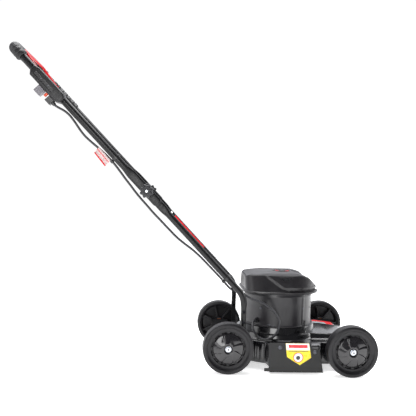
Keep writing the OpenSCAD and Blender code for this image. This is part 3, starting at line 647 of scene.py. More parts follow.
bracket_names = [f"bracket_{end}_{hand}" for end in ("front", "rear") for hand in ("right", "left")]
for node in bracket_names:
    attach(finish_surface(eased(node, f"folded_{node}", 0.0008), powder_coat, [node]),
            "chassis")
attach(finish_surface(eased("wheel_bolts", "shoulder_bolts", 0.0006), zinc, ["wheel_bolts"]),
        "chassis")
for end in ("front", "rear"):
    for hand, side in (("right", -1), ("left", 1)):
        low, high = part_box(f"wheel_{end}_{hand}")
        edge = high.y if side > 0 else low.y
        place = wheel_place(side, (low.x + high.x) / 2, edge)
        # The socket in each bolt head is painted shade: a flat dark hexagon laid on the head stands in for the
        # shaded recess.
        socket = lathe(f"painted_socket_shade_{end}_{hand}", [(0.0001, 0.00355), (0.0022, 0.00355), (0.0026, 0.0038),
                                                     (0.0001, 0.0038)],
                       place, 6)
        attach(finish_surface(socket, shade_and_print_film), "chassis")


# ---- Motor shell ----
# A drum rolled from 1.5 mm steel sheet and lapped at a seam, painted satin black. Its foot flange stands on
# the plinth; screws through the drum hold the stator, and small pressed slots let air out.

# satin paint on rolled sheet: dark grey, its tone drifting at random in soft patches about 60 mm across
drum_paint = grained("drum_paint", "#161518", "#232125", 0.3, 0.42, 1.4, 0.03, 60, IOR=1.5)
shell_low, shell_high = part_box("motor_shell")
drum = 0.1085
shell_foot, shell_top = shell_low.z, shell_high.z
on_axis = Matrix.Identity(4)
drum_profile = [
    (0.1060, shell_foot), (0.1133, shell_foot), (0.1137, shell_foot + 0.0006),
    (0.1137, shell_foot + 0.0024),
    (0.1130, shell_foot + 0.0031), (0.1100, shell_foot + 0.0034), (0.1088, shell_foot + 0.0046),
    (drum, shell_foot + 0.0070),
    (drum, shell_foot + 0.0300), (drum, shell_foot + 0.0600), (drum, shell_top - 0.0140),
    (drum + 0.0009, shell_top - 0.0120),
    (drum + 0.0009, shell_top - 0.0095), (drum, shell_top - 0.0075), (drum, shell_top), (0.1070, shell_top),
    (0.1060, shell_top - 0.0080),
]
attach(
    finish_surface(lathe("drum", drum_profile, on_axis, 192), drum_paint,
                   ["motor_shell"], 40),
    "chassis",
)


def on_drum(name, angle, z0, z1, width, proud, material):
    """A strip that lies on the drum, from z0 to z1, centred on an angle in degrees."""
    half = math.degrees(width / 2 / drum)
    steps = 8
    outline = [(drum - 0.0004, angle - half)]
    outline += [(drum + proud * min(1, 3 * min(i, steps - i) / steps),
                 angle - half + 2 * half * i / steps) for i in range(steps + 1)]
    outline += [(drum - 0.0004, angle + half)]
    rings = []
    for z, out in ((z0, 0.0), (z0 + 0.0006, 1.0), (z1 - 0.0006, 1.0), (z1, 0.0)):
        rings.append([
            Vector(((drum - 0.0004 + (r - drum + 0.0004) * out) * math.cos(math.radians(a)),
                    (drum - 0.0004 + (r - drum + 0.0004) * out) * math.sin(math.radians(a)), z))
            for r, a in outline
        ])
    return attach(finish_surface(skin(name, rings), material, (), 40), "chassis")


on_drum("drum_seam", -52, shell_foot + 0.0035, shell_top - 0.0010, 0.0130, 0.0011, drum_paint)
on_drum("drum_foot_clip", -47, shell_foot + 0.0035, shell_foot + 0.0190, 0.0090, 0.0040, powder_coat)
for number, (angle, z) in enumerate([(-113, 0.178), (-113, 0.129), (-107, 0.126), (-30, 0.178),
                                     (113, 0.178), (30, 0.178)]):
    on_drum(f"air_slot_{number}", angle, z - 0.0016, z + 0.0016, 0.0110, 0.0012,
            dull_zinc if z < 0.13 else drum_paint)
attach(finish_surface(eased("motor_screws", "drum_screws", 0.0005), dull_zinc,
                       ["motor_screws"]), "chassis")


# ---- Motor cover ----
# The hood over the motor, moulded in black polypropylene. It has a crown that falls to a nose in front, a
# flat panel and a raised one on each side with a slanted facet between them, and a chamfer under the nose.

# moulded polypropylene: satin, charcoal where the lamps catch its spark-eroded grain
polypropylene = grained("moulded_polypropylene", "#141315", "#201E21", 0.3, 0.4, 1.0, 0.06, 35, IOR=1.49)
cover_low, cover_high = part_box("motor_cover")
cover_foot = cover_low.z
cover_top = cover_high.z
cover_side_line = [(cover_low.x, -0.0110), (-0.112, -0.0065), (-0.060, -0.0030), (-0.020, 0.0),
                   (0.044, 0.0),
                   (0.066, -0.0055), (0.084, -0.0100), (0.093, -0.0170), (0.101, -0.0260), (0.113, -0.0370),
                   (0.119, -0.0440), (cover_high.x, -0.0580)]


def cover_crown(x, y):
    """Height of the cover's skin: domed along its length down to the nose, and falling towards both sides."""
    for (x0, z0), (x1, z1) in zip(cover_side_line, cover_side_line[1:]):
        if x <= x1:
            break
    along = z0 + (z1 - z0) * min(1.0, max(0.0, (x - x0) / (x1 - x0)))
    return cover_top + min(along, -0.0038 * max(0.0, abs(y) - 0.050) / 0.036)


def cover_lean(z):
    """Share of the cover's width that is left at a height: upright at the rim, then leaning inwards."""
    if z < 0.276:
        return 1 - 0.193 * max(0.0, z - 0.234) / 0.042
    return 0.807 - 0.05 * (z - 0.276) / 0.008


def cover_outline(inset, sides=320):
    """The cover's plan, rounder in front than behind, as evenly spaced points."""
    rear, front, half = 0.062, 0.098, cover_high.y
    corners = [(cover_high.x - front, -(half - front), front, -90),
               (cover_high.x - front, half - front, front, 0),
               (cover_low.x + rear, half - rear, rear, 90), (cover_low.x + rear, -(half - rear), rear, 180)]
    outline = []
    for x, y, radius, start in corners:
        for k in range(91):
            a = math.radians(start + k)
            reach = max(0.001, radius - inset)
            outline.append(Vector((x + reach * math.cos(a), y + reach * math.sin(a), 0)))
    gaps = [(outline[i + 1 - len(outline)] - point).length for i, point in enumerate(outline)]
    step, points, i, way = sum(gaps) / sides, [], 0, 0.0
    for k in range(sides):
        while way > gaps[i]:
            way -= gaps[i]
            i += 1
        points.append(outline[i].lerp(outline[i + 1 - len(outline)], way / max(gaps[i], 1e-9)))
        way += step
    return points


def cover_recess(x, z):
    """How far the wall stands back at a point: raised front panel, slanted facet, chamfer under the nose."""
    facet = -0.058 + (0.280 - z) * 1.45
    front = ease(x, facet - 0.006, facet + 0.012)
    back_panel = 0.0060 * (1 - front)
    chamfer = 0.0105 * front * max(0.0, min(1.0, (0.2465 - z) / 0.0135)) * ease(z, 0.2305, 0.2330)
    return back_panel * ease(z, 0.2310, 0.2335) + chamfer


cover_rings = []
wall_levels = [0.0002, 0.0010, 0.0025, 0.0050, 0.0056, 0.0062, 0.0070, 0.0080, 0.0095, 0.0120, 0.0150,
               0.0180, 0.0200,
               0.0212, 0.0222, 0.0235, 0.0260, 0.0290, 0.0320, 0.0350, 0.0380, 0.0410, 0.0440, 0.0470,
               0.0500, 0.0530]
for level in wall_levels:
    ring = []
    for outer, inner in zip(cover_outline(0.0), cover_outline(0.010)):
        edge = cover_crown(outer.x, outer.y * 0.76) - 0.0042
        z = cover_foot + level * min(1.0, (edge - cover_foot) / wall_levels[-1])
        inward = (inner - outer).normalized()
        lip = 0.0022 * (1 - ease(z, 0.2250, 0.2268))
        point = outer + inward * (lip + cover_recess(outer.x, z))
        ring.append(Vector((point.x, point.y * cover_lean(z), z)))
    cover_rings.append(ring)
shoulder = cover_rings[-1]
middle_x = 0.012
for inset, drop in ((0.0008, 0.0026), (0.0020, 0.0016), (0.0030, 0.0014), (0.0034, 0.0036),
                    (0.0048, 0.0036),
                    (0.0052, 0.0008), (0.0075, 0.0004), (0.0100, 0.0002)):
    ring = []
    for edge in shoulder:
        inward = Vector((middle_x - edge.x, -edge.y, 0)).normalized()
        point = edge + inward * inset
        ring.append(Vector((point.x, point.y, min(edge.z + 0.0040, cover_crown(point.x, point.y)) - drop)))
    cover_rings.append(ring)
rim = cover_rings[-1]
for share in [i / 16 for i in range(1, 16)]:
    ring = []
    for edge in rim:
        x, y = edge.x * (1 - share) + middle_x * share, edge.y * (1 - share)
        ring.append(Vector((x, y, min(edge.z + 0.0006 + 0.05 * share, cover_crown(x, y) - 0.0002))))
    cover_rings.append(ring)
cover_skin = skin("cover_moulding", cover_rings)
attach(finish_surface(cover_skin, polypropylene, ["motor_cover"], 24), "chassis")

for hand, side in (("right", -1), ("left", 1)):
    # The slot is a dark vinyl patch laid over the frame: painted shade standing in for the vent's opening.
    for label, grow, proud, material in (("frame", 0.0, 0.0009, polypropylene),
                                         ("slot", 0.0045, 0.0014, shade_and_print_film)):
        top, bottom = 0.2765 - grow * 0.55, 0.2625 + grow * 0.9
        outline = [(-0.0115 + grow, top), (0.0315 - grow, top), (0.0235 - grow * 0.7, bottom),
                   (-0.0035 + grow * 0.7, bottom)]
        rings = []
        for out, scale in ((-0.004, 1.0), (proud * 0.6, 1.0), (proud, 0.97)):
            ring = []
            for x, z in outline:
                x, z = x * scale + 0.010 * (1 - scale), z * scale + 0.2695 * (1 - scale)
                ring.append(Vector((x, side * (cover_high.y * cover_lean(z) + out), z)))
            rings.append(ring)
        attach(finish_surface(skin(f"side_vent_{label}_{hand}", rings), material, (), 30),
                "chassis")


# ---- Top vent ----
# A round louvred insert in the crown, moulded in black, with two red accents between its louvres.

red_abs = grained("red_abs", "#C9131C", "#E0202A", 0.22, 0.32, 1.0, 0.03, 20, IOR=1.54)
black_abs = grained("black_abs", "#0B0B0D", "#131315", 0.25, 0.36, 0.9, 0.05, 20, IOR=1.54)
vent_low, vent_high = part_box("top_vent")
vent_middle = Vector(((vent_low.x + vent_high.x) / 2, 0, vent_high.z - 0.0012))
vent_place = Matrix.Translation(vent_middle)
vent_profile = [(0.0255, -0.0030), (0.0288, -0.0030), (0.0302, -0.0003), (0.0310, 0.0003), (0.0308, 0.0009),
                (0.0296, 0.0012),
                (0.0272, 0.0010), (0.0262, 0.0002)]
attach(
    finish_surface(lathe("vent_rim", vent_profile, vent_place, 96), black_abs,
                   ["top_vent"]), "chassis"
)
plate_profile = [(0.0001, -0.0026), (0.0262, -0.0026), (0.0262, -0.0012), (0.0001, -0.0010)]
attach(finish_surface(lathe("vent_floor", plate_profile, vent_place, 64), black_abs),
        "chassis")


def vent_sector(name, start, stop, r0, r1, high, material):
    """One louvre: a curved bar between two angles in degrees."""
    steps = 14
    rings = []
    for i in range(steps + 1):
        a = math.radians(start + (stop - start) * i / steps)
        section = [(r0, -0.0012), (r1, -0.0012), (r1, high * 0.6), (r1 - 0.0008, high), (r0 + 0.0008, high),
                   (r0, high * 0.6)]
        rings.append([vent_middle + Vector((r * math.cos(a), r * math.sin(a), h)) for r, h in section])
    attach(finish_surface(skin(name, rings), material), "chassis")


for number, start in enumerate((10, 100, 190, 280)):
    vent_sector(f"vent_louvre_{number}", start, start + 70, 0.0120, 0.0185, 0.0012, polypropylene)
for number, start in enumerate((200, 290)):
    vent_sector(f"vent_accent_{number}", start, start + 34, 0.0200, 0.0250, 0.0011, red_abs)
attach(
    finish_surface(
        lathe("vent_hub", [(0.0001, -0.0012), (0.0090, -0.0012), (0.0090, 0.0002), (0.0078, 0.0011),
                           (0.0001, 0.0012)],
              vent_place, 48),
        polypropylene,
    ),
    "chassis",
)


# ---- Lower tubes and their brackets ----
# Two 20 mm steel tubes, bent above the deck and pressed flat at the folding pivot, powder coated. Each
# foot is bolted through a folded bracket on the deck.

foot_low, foot_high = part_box("foot_bolts")
foot_x = (foot_low.x + foot_high.x) / 2
lean = math.atan2(-up_leg.x, up_leg.z)
corner_u = -(foot_x - pivot.x) / math.sin(lean)
bend_radius = 0.060
bend_tangent = bend_radius * math.tan(lean / 2)


def pressed(round_radius, half_wide, half_thick, share, sides=32):
    """A tube's section on its way from round, at share 0, to pressed flat, at share 1."""
    offsets = []
    for k in range(sides):
        a = math.tau * k / sides
        power = 1 - 0.45 * share
        wide = round_radius + (half_wide - round_radius) * share
        thick = round_radius + (half_thick - round_radius) * share
        c, s = math.cos(a), math.sin(a)
        offsets.append((math.copysign(abs(c) ** power, c) * wide,
                        math.copysign(abs(s) ** power, s) * thick))
    return offsets


def lower_tube(y):
    """The tube's centre line with its section at each point: from the foot up to the end past the pivot."""
    line, sections = [], []
    corner = on_leg(0, y, corner_u)
    for z, radius in ((0.100, 0.008), (0.13, 0.008), (0.16, 0.008),
                      (corner.z - bend_tangent - 0.012, 0.008),
                      (corner.z - bend_tangent - 0.006, 0.009), (corner.z - bend_tangent, 0.010)):
        line.append(Vector((foot_x, y, z)))
        sections.append((0.0, 0.0125, radius))
    for i in range(1, 12):
        a = lean * i / 12
        line.append(Vector((foot_x - bend_radius * (1 - math.cos(a)), y,
                            corner.z - bend_tangent + bend_radius * math.sin(a))))
        sections.append((0.0, 0.0125, 0.010))
    for u in (corner_u + bend_tangent, corner_u + 0.1, -0.25, -0.15, -0.100):
        line.append(on_leg(0, y, u))
        sections.append((0.0, 0.0125, 0.010))
    for i in range(1, 9):
        line.append(on_leg(0, y, -0.100 + 0.030 * i / 8))
        sections.append((ease(i, 0, 8), 0.0125, 0.010))
    for u in (-0.05, -0.02, 0.005, 0.018):
        line.append(on_leg(0, y, u))
        sections.append((1.0, 0.0125 + 0.0015 * ease(u, -0.005, 0.018), 0.010))
    for i in range(1, 9):
        a = math.pi / 2 * i / 8
        line.append(on_leg(0, y, 0.018 + 0.0138 * math.sin(a)))
        sections.append((1.0, max(0.0012, 0.014 * math.cos(a)), 0.010))
    return line, sections


for hand, side in (("right", -1), ("left", 1)):
    low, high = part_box(f"lower_tube_{hand}")
    line, sections = lower_tube((low.y + high.y) / 2)
    rings = rings_along(line, Vector((1, 0, 0)), lambda i: pressed(sections[i][2], sections[i][1], 0.006,
                                                                   sections[i][0]))
    tube = skin(f"bent_tube_{hand}", rings)
    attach(finish_surface(tube, powder_coat, [f"lower_tube_{hand}"], 50), "chassis")
    plug = lathe(f"foot_plug_{hand}", [(0.0001, 0.0), (0.0062, 0.0), (0.0072, 0.001), (0.0072, 0.004),
                                       (0.0001, 0.004)],
                 Matrix.Translation((foot_x, (low.y + high.y) / 2, low.z - 0.0005)), 32)
    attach(finish_surface(plug, black_abs), "chassis")
    folded = eased(f"handle_bracket_{hand}", f"folded_handle_bracket_{hand}", 0.0008)
    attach(finish_surface(folded, powder_coat, [f"handle_bracket_{hand}"]), "chassis")
# black-oxide bolts: dark steel with an oily sheen
black_oxide = grained("black_oxide", "#17171A", "#26262A", 0.28, 0.4, 1.0, 0.02, 8, Metallic=1.0)
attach(finish_surface(eased("foot_bolts", "foot_coach_bolts", 0.0007), black_oxide,
                       ["foot_bolts"]), "chassis")
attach(finish_surface(eased("pivot_bolts", "pivot_coach_bolts", 0.0006), zinc,
                       ["pivot_bolts"]), "chassis")


# ---- Decals on the left tube ----
# A narrow red stripe and a small white square, both printed vinyl, on the left lower tube's inner side.

left_tube_y = (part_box("lower_tube_left")[0].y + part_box("lower_tube_left")[1].y) / 2


def tube_decal(name, u0, u1, middle, spread, radius, material):
    """A strip that wraps part of the tube: u0 to u1 along it, middle and spread in degrees round it."""
    rings = []
    for r in (radius - 0.0004, radius + 0.00025):
        row = []
        for i in range(9):
            a = math.radians(middle - spread / 2 + spread * i / 8)
            row.append((r * math.cos(a), left_tube_y - r * math.sin(a)))
        rings.append(row)
    outline = rings[1] + list(reversed(rings[0]))
    strips = [[on_leg(v, y, u) for v, y in outline] for u in (u0, u1)]
    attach(finish_surface(skin(name, strips), material), "chassis")


tube_decal("tube_stripe", -0.270, -0.120, 62, 26, 0.010, red_film)
tube_decal("tube_square", -0.108, -0.1005, 70, 60, 0.0098, white_film)


# ---- Star knobs ----
# Grey glass-filled nylon knobs with eight lobes, which clamp the folding pivot. Each is moulded round a
# nut that runs on the long pivot bolt.

nylon = grained("glass_filled_nylon", "#1F1F22", "#2B2B2E", 0.42, 0.55, 0.9, 0.05, 15, IOR=1.48)


def star_knob(name, side, y0):
    """Lobed body with rounded rims, a boss towards the tube and a dished face."""
    lobes, around = 8, 192
    levels = [(0.0, 0.0085, 0), (0.0034, 0.0092, 0), (0.0040, 0.0140, 0.3), (0.0046, 0.0172, 0.8),
              (0.0060, 0.0190, 1),
              (0.0100, 0.0193, 1), (0.0150, 0.0190, 1), (0.0172, 0.0183, 0.95), (0.0186, 0.0168, 0.75),
              (0.0200, 0.0145, 0.45),
              (0.0208, 0.0115, 0.15), (0.0206, 0.0085, 0), (0.0192, 0.0078, 0), (0.0192, 0.0042, 0)]
    rings = []
    for h, r, lobed in levels:
        ring = []
        for k in range(around):
            a = math.tau * k / around
            wave = 0.5 + 0.5 * math.cos(lobes * a + math.pi)
            radius = r + 0.0021 * lobed * (wave**0.8 * 2 - 1)
            ring.append(on_leg(radius * math.cos(a), y0 + side * h, radius * math.sin(a)))
        rings.append(ring)
    inner = [on_leg(0.0042 * math.cos(math.tau * k / around), y0,
                    0.0042 * math.sin(math.tau * k / around)) for k in range(around)]
    return skin(name, rings + [inner], closed=True)


for hand, side in (("right", -1), ("left", 1)):
    low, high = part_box(f"knob_{hand}")
    face = low.y if side > 0 else high.y
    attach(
        finish_surface(star_knob(f"star_knob_{hand}", side, face), nylon, [f"knob_{hand}"],
                       40),
        f"{hand}_knob",
    )


# ---- Upper handle ----
# One 22 mm steel tube, bent into a U and pressed flat at both lower ends, powder coated black.

handle_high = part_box("upper_handle")[1]
up_radius = 0.011
up_y = handle_high.y - up_radius
corner_bend = 0.045
bar_u = 0.575


def handle_line():
    """The U's centre line from the right end round to the left one, with the press at each point."""
    half_line = []
    for i in range(9):
        a = math.pi / 2 * (8 - i) / 8
        half_line.append((up_y, -0.042 - 0.0138 * math.sin(a), (1.0, max(0.0012, 0.014 * math.cos(a)))))
    for u in (-0.02, 0.02, 0.05, 0.064):
        half_line.append((up_y, u, (1.0, 0.014)))
    for i in range(1, 9):
        half_line.append((up_y, 0.064 + 0.036 * i / 8, (1 - ease(i, 0, 8), 0.014)))
    for u in (0.15, 0.25, 0.35, bar_u - corner_bend):
        half_line.append((up_y, u, (0.0, 0.014)))
    for i in range(1, 12):
        a = math.pi / 2 * i / 12
        half_line.append((up_y - corner_bend * (1 - math.cos(a)),
                          bar_u - corner_bend + corner_bend * math.sin(a), (0.0, 0.014)))
    half_line.append((up_y - corner_bend, bar_u, (0.0, 0.014)))
    right = [(on_leg(0, -y, u), press) for y, u, press in half_line]
    left = [(on_leg(0, y, u), press) for y, u, press in reversed(half_line)]
    return right + left


handle_path = handle_line()
rings = rings_along([p for p, _ in handle_path], across,
                    lambda i: pressed(up_radius, handle_path[i][1][1], 0.006, handle_path[i][1][0]))
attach(finish_surface(skin("handle_tube", rings), powder_coat, ["upper_handle"], 50),
        "handle")


# ---- Soft grips ----
# A ribbed sleeve of black foamed PVC covers the crossbar and both corners; a second, knobbly one is pushed
# over the left leg. Both are slipped on with air and stay by friction.

# foamed PVC: matt dark grey, with fine streaks along it from the extruder
foam_grip = grained("foamed_pvc", "#121214", "#1C1C1F", 0.42, 0.55, 0.9, 0.05, 10, IOR=1.45)
knobbly = grained("knobbly_pvc", "#0E0E10", "#161618", 0.3, 0.42, 1.0, 0.03, 10, IOR=1.45)
sleeve_line, sleeve_radius = [], []
finger_pitch = 0.0125
quarter = math.pi / 2 * corner_bend
arc_steps, bar_steps = 48, 60
bar_half = up_y - corner_bend
for i in range(arc_steps + 1):
    a = math.pi / 2 * i / arc_steps
    sleeve_line.append(on_leg(0, -(bar_half + corner_bend * math.cos(a)),
                              bar_u - corner_bend + corner_bend * math.sin(a)))
    way = quarter * i / arc_steps
    sleeve_radius.append(0.0158 + 0.0020 * abs(math.sin(math.pi * way / finger_pitch)) ** 0.7)
for i in range(1, bar_steps):
    sleeve_line.append(on_leg(0, -bar_half + 2 * bar_half * i / bar_steps, bar_u))
    edge = min(i, bar_steps - i) * 2 * bar_half / bar_steps
    sleeve_radius.append(0.0158 + 0.0020 * ease(edge, 0.0, 0.008))
for i in range(arc_steps + 1):
    a = math.pi / 2 * (1 - i / arc_steps)
    sleeve_line.append(on_leg(0, bar_half + corner_bend * math.cos(a),
                              bar_u - corner_bend + corner_bend * math.sin(a)))
    way = quarter * (arc_steps - i) / arc_steps
    sleeve_radius.append(0.0158 + 0.0020 * abs(math.sin(math.pi * way / finger_pitch)) ** 0.7)
sleeve_radius[0] = sleeve_radius[-1] = 0.0145
flutes = 28
sleeve_rings = rings_along(
    sleeve_line, across,
    lambda i: [(a * (1 + 0.018 * (k % 2)), b * (1 + 0.018 * (k % 2))) for k,
               (a, b) in enumerate(circle(sleeve_radius[i] - 0.0001, 2 * flutes))],
)
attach(finish_surface(skin("crossbar_sleeve", sleeve_rings), foam_grip, ["crossbar_grip"],
                       60), "handle")

bump_pitch = 0.017
leg_low_u, leg_high_u = 0.379, 0.495
bump_steps, bump_sides = 150, 64
bump_rings = []
for i in range(bump_steps + 1):
    u = leg_low_u + (leg_high_u - leg_low_u) * i / bump_steps
    ends = ease(u, leg_low_u, leg_low_u + 0.003) * (1 - ease(u, leg_high_u - 0.003, leg_high_u))
    ring = []
    for k in range(bump_sides):
        a = math.tau * k / bump_sides
        row = (4 * a / math.tau) % 1
        phase = u / bump_pitch + 0.5 * (int(4 * a / math.tau) % 2)
        height = max(0.0, math.cos(math.tau * phase)) ** 0.7 * math.sin(math.pi * row) ** 0.7
        r = 0.0132 + 0.0006 * ends + 0.0036 * height * ends
        ring.append(on_leg(r * math.cos(a), up_y + r * math.sin(a), u))
    bump_rings.append(ring)
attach(finish_surface(skin("knobbly_sleeve", bump_rings), knobbly, ["left_leg_grip"], 70),
        "handle")


# ---- Switch box ----
# Two ABS half shells screwed together round the right leg. They hold the switch and the bail's pivot; the
# outer one has a raised panel and a rail moulded on, and the inlet and the cable leave from its underside.

moulded_abs = grained("moulded_abs", "#121113", "#1A191B", 0.34, 0.46, 1.2, 0.04, 25, IOR=1.48)
outer_low, outer_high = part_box("switch_box_outer")
outer_face = outer_low.y


def leg_block(name, outline, y_levels, material, replaces=(), crease=35, body="handle"):
    """A moulding beside the handle: an outline in (v, u), repeated at (y, scale) levels from its middle."""
    middle_v = sum(v for v, _ in outline) / len(outline)
    middle_u = sum(u for _, u in outline) / len(outline)
    rings = []
    for y, inset in y_levels:
        ring = []
        for v, u in outline:
            edge = Vector((v, u)) - Vector((math.copysign(inset, v - middle_v),
                                            math.copysign(inset, u - middle_u)))
            ring.append(on_leg(edge.x, y, edge.y))
        rings.append(ring)
    block = finish_surface(skin(name, rings), material, replaces, crease)
    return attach(block, body)


def rounded_outline(corners, radius, steps=5):
    """A polygon's outline with each corner turned into an arc."""
    points = []
    for i, corner in enumerate(corners):
        corner = Vector(corner)
        to_last = (Vector(corners[i - 1]) - corner).normalized()
        to_next = (Vector(corners[(i + 1) % len(corners)]) - corner).normalized()
        half = to_last.angle(to_next) / 2
        cut = min(radius / math.tan(half), 0.45 * min((Vector(corners[i - 1]) - corner).length,
                                                      (Vector(corners[(i + 1) % len(corners)]) - corner).length))
        start, end = corner + to_last * cut, corner + to_next * cut
        for k in range(steps + 1):
            t = k / steps
            points.append(start * (1 - t) ** 2 + corner * 2 * t * (1 - t) + end * t**2)
    return [(p.x, p.y) for p in points]


box_corners = [(-0.012, 0.356), (0.008, 0.356), (0.014, 0.366), (0.014, 0.466), (0.009, 0.482),
               (-0.009, 0.482), (-0.020, 0.472),
               (-0.020, 0.369)]
box_outline = rounded_outline(box_corners, 0.004)
split_y = outer_high.y
leg_block("box_outer_shell", box_outline,
          [(split_y, 0), (split_y, 0), (outer_face + 0.0045, 0), (outer_face + 0.0028, 0.0004),
           (outer_face + 0.0013, 0.0014),
           (outer_face + 0.0004, 0.0027), (outer_face, 0.0042)],
          moulded_abs, ["switch_box_outer"], 30)
inner_low, inner_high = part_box("switch_box_inner")
leg_block("box_inner_shell", box_outline,
          [(inner_low.y, 0), (inner_high.y - 0.0045, 0), (inner_high.y - 0.0028, 0.0004),
           (inner_high.y - 0.0013, 0.0014),
           (inner_high.y - 0.0004, 0.0027), (inner_high.y, 0.0042)],
          moulded_abs, ["switch_box_inner"], 30)
panel = rounded_outline([(-0.0085, 0.392), (0.0005, 0.392), (0.0005, 0.466), (-0.0085, 0.466)], 0.0025)
leg_block("box_panel", panel, [(outer_face + 0.001, 0), (outer_face - 0.0008, 0),
                               (outer_face - 0.0016, 0.0008)], polypropylene)
rail = rounded_outline([(-0.0148, 0.392), (-0.0105, 0.392), (-0.0105, 0.470), (-0.0148, 0.470)], 0.0015)
leg_block("box_rail", rail, [(outer_face + 0.001, 0), (outer_face - 0.0010, 0),
                             (outer_face - 0.0016, 0.0006)], moulded_abs)
spine = rounded_outline([(0.0095, 0.368), (0.0128, 0.372), (0.0128, 0.462), (0.0095, 0.470)], 0.0012)
leg_block("box_spine", spine, [(outer_face + 0.006, 0), (outer_face + 0.0012, 0),
                               (outer_face + 0.0004, 0.0005)], moulded_abs)
for number, (v, u) in enumerate([(-0.0035, 0.4405), (-0.0035, 0.4130)]):
    rings = []
    for r, out in ((0.0021, 0.0), (0.0021, -0.0018), (0.0017, -0.0023), (0.0007, -0.0024)):
        rings.append([on_leg(v + r * math.cos(math.tau * k / 24), outer_face + out,
                             u + r * math.sin(math.tau * k / 24))
                      for k in range(24)])
    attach(finish_surface(skin(f"box_face_screw_{number}", rings), dull_zinc), "handle")
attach(finish_surface(eased("box_screws", "box_rear_screws", 0.0003), zinc, ["box_screws"]),
        "handle")


# ---- Supply inlet, cable outlet and lock button ----
# A grey square shroud with two flat brass pins takes the supply lead. The black outlet beside it grips the
# cable, and the red button between them has to be pressed before the bail moves.

grey_abs = grained("grey_abs", "#6E6B70", "#858288", 0.38, 0.5, 0.9, 0.05, 18, IOR=1.54)
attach(finish_surface(eased("inlet_shroud", "supply_shroud", 0.0009, 3), grey_abs,
                       ["inlet_shroud"]), "handle")
for number, u in enumerate((0.413, 0.421, 0.429)):
    rib = rounded_outline([(-0.0415, u - 0.0010), (-0.0215, u - 0.0010), (-0.0215, u + 0.0010),
                           (-0.0415, u + 0.0010)], 0.0006, 2)
    leg_block(f"shroud_rib_{number}", rib, [(-0.1825, 0), (-0.1835, 0), (-0.1838, 0.0003)], grey_abs)
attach(finish_surface(eased("cable_outlet", "outlet_block", 0.0012, 3), black_abs,
                       ["cable_outlet"]), "handle")
orange_abs = grained("orange_abs", "#D8401A", "#EA5526", 0.25, 0.35, 1.0, 0.03, 15, IOR=1.54)
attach(finish_surface(eased("lock_button", "release_button", 0.0006, 3), orange_abs,
                       ["lock_button"]), "button")


# ---- Bail lever and its bracket ----
# A bar of 8 mm round steel bent to a U and coated gloss red, which the user squeezes against the crossbar.
# Its right end turns in the switch box, its left end in a nylon bracket on the left leg.

red_coat = grained("red_powder_coat", "#B00812", "#C8101B", 0.22, 0.32, 1.2, 0.03, 20, IOR=1.4)
bail_pivot = Vector(next(j for j in frame["joints"] if j["name"] == "bail_squeeze")["pos_m"])
bail_u = (bail_pivot - pivot).dot(up_leg)
bail_v = (bail_pivot - pivot).dot(across)
tilt = math.radians(8)
arm, arm_y, arm_bend, bail_radius = 0.080, 0.131, 0.014, 0.004


def on_bail(y, way):
    """A point on the bail's plane, way up from its pivot."""
    return on_leg(bail_v + way * math.sin(tilt), y, bail_u + way * math.cos(tilt))


half_bail = [(arm_y, 0.0), (arm_y, 0.02), (arm_y, 0.04), (arm_y, arm - arm_bend)]
for i in range(1, 10):
    a = math.pi / 2 * i / 10
    half_bail.append((arm_y - arm_bend * (1 - math.cos(a)), arm - arm_bend * (1 - math.sin(a))))
half_bail.append((arm_y - arm_bend, arm))
bail_line = [on_bail(-y, w) for y, w in half_bail] + [on_bail(y, w) for y, w in reversed(half_bail)]
bail_bar = skin("bail_bar", rings_along(bail_line, across, lambda i: circle(bail_radius, 28)))
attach(finish_surface(bail_bar, red_coat, ["bail_lever"]), "bail")
for hand, side in (("right", -1), ("left", 1)):
    reach = 0.142 if side < 0 else 0.138
    rings = []
    for y, r in ((0.1270, 0.0050), (0.1276, 0.0060), (0.1340, 0.0060), (0.1346, 0.0052), (0.1347, 0.0025),
                 (reach, 0.0025)):
        rings.append([bail_pivot + Vector((0, side * y, 0)) + across * (r * math.cos(math.tau * k / 32))
                      + up_leg * (r * math.sin(math.tau * k / 32)) for k in range(32)])
    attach(finish_surface(skin(f"bail_eye_{hand}", rings), red_coat), "bail")
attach(finish_surface(eased("bail_bracket", "bail_hanger", 0.0010, 3), moulded_abs,
                       ["bail_bracket"]), "handle")


# ---- Clips, gland and care tag ----
# Snap-on polypropylene clips hold the cable under the tubes, and a hexagonal gland seals it in the drum.
# The care tag is coated paper folded over the cable, white with a red edge.

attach(finish_surface(eased("upper_clip", "cable_clip_upper", 0.0006), black_abs,
                       ["upper_clip"]), "handle")
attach(finish_surface(eased("lower_clip", "cable_clip_lower", 0.0006), black_abs,
                       ["lower_clip"]), "chassis")
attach(finish_surface(eased("gland", "drum_gland", 0.0005), black_abs, ["gland"]),
        "chassis")
paper = grained("coated_paper", "#D6BCBB", "#DEC6C4", 0.45, 0.6, 0.7, 0.04, 9, IOR=1.45)
tag_low, tag_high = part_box("cable_tag")
tag_y = (tag_low.y + tag_high.y) / 2


def tag_strip(name, v_inner, v_outer, material, proud, replaces=()):
    """A strip of the tag between two shares of its width, with the tag's slight curl."""
    bm = bmesh.new()
    rows = []
    for i in range(13):
        t = i / 12
        inner = Vector((-0.017, 0.138)).lerp(Vector((-0.015, 0.190)), t)
        outer = Vector((-0.041, 0.136)).lerp(Vector((-0.037, 0.186)), t)
        row = []
        for k in range(9):
            share = v_inner + (v_outer - v_inner) * k / 8
            v, u = inner.lerp(outer, share)
            curl = 0.0022 * math.sin(math.pi * t) + 0.0030 * share * share
            row.append(bm.verts.new(on_leg(v, tag_y - curl - proud, u)))
        rows.append(row)
    for low, high in zip(rows, rows[1:]):
        for k in range(8):
            bm.faces.new((low[k], low[k + 1], high[k + 1], high[k]))
    strip = mesh_object(name, bm)
    body = strip.modifiers.new("paper", "SOLIDIFY")
    body.thickness = 0.0005
    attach(finish_surface(strip, material, replaces), "handle")


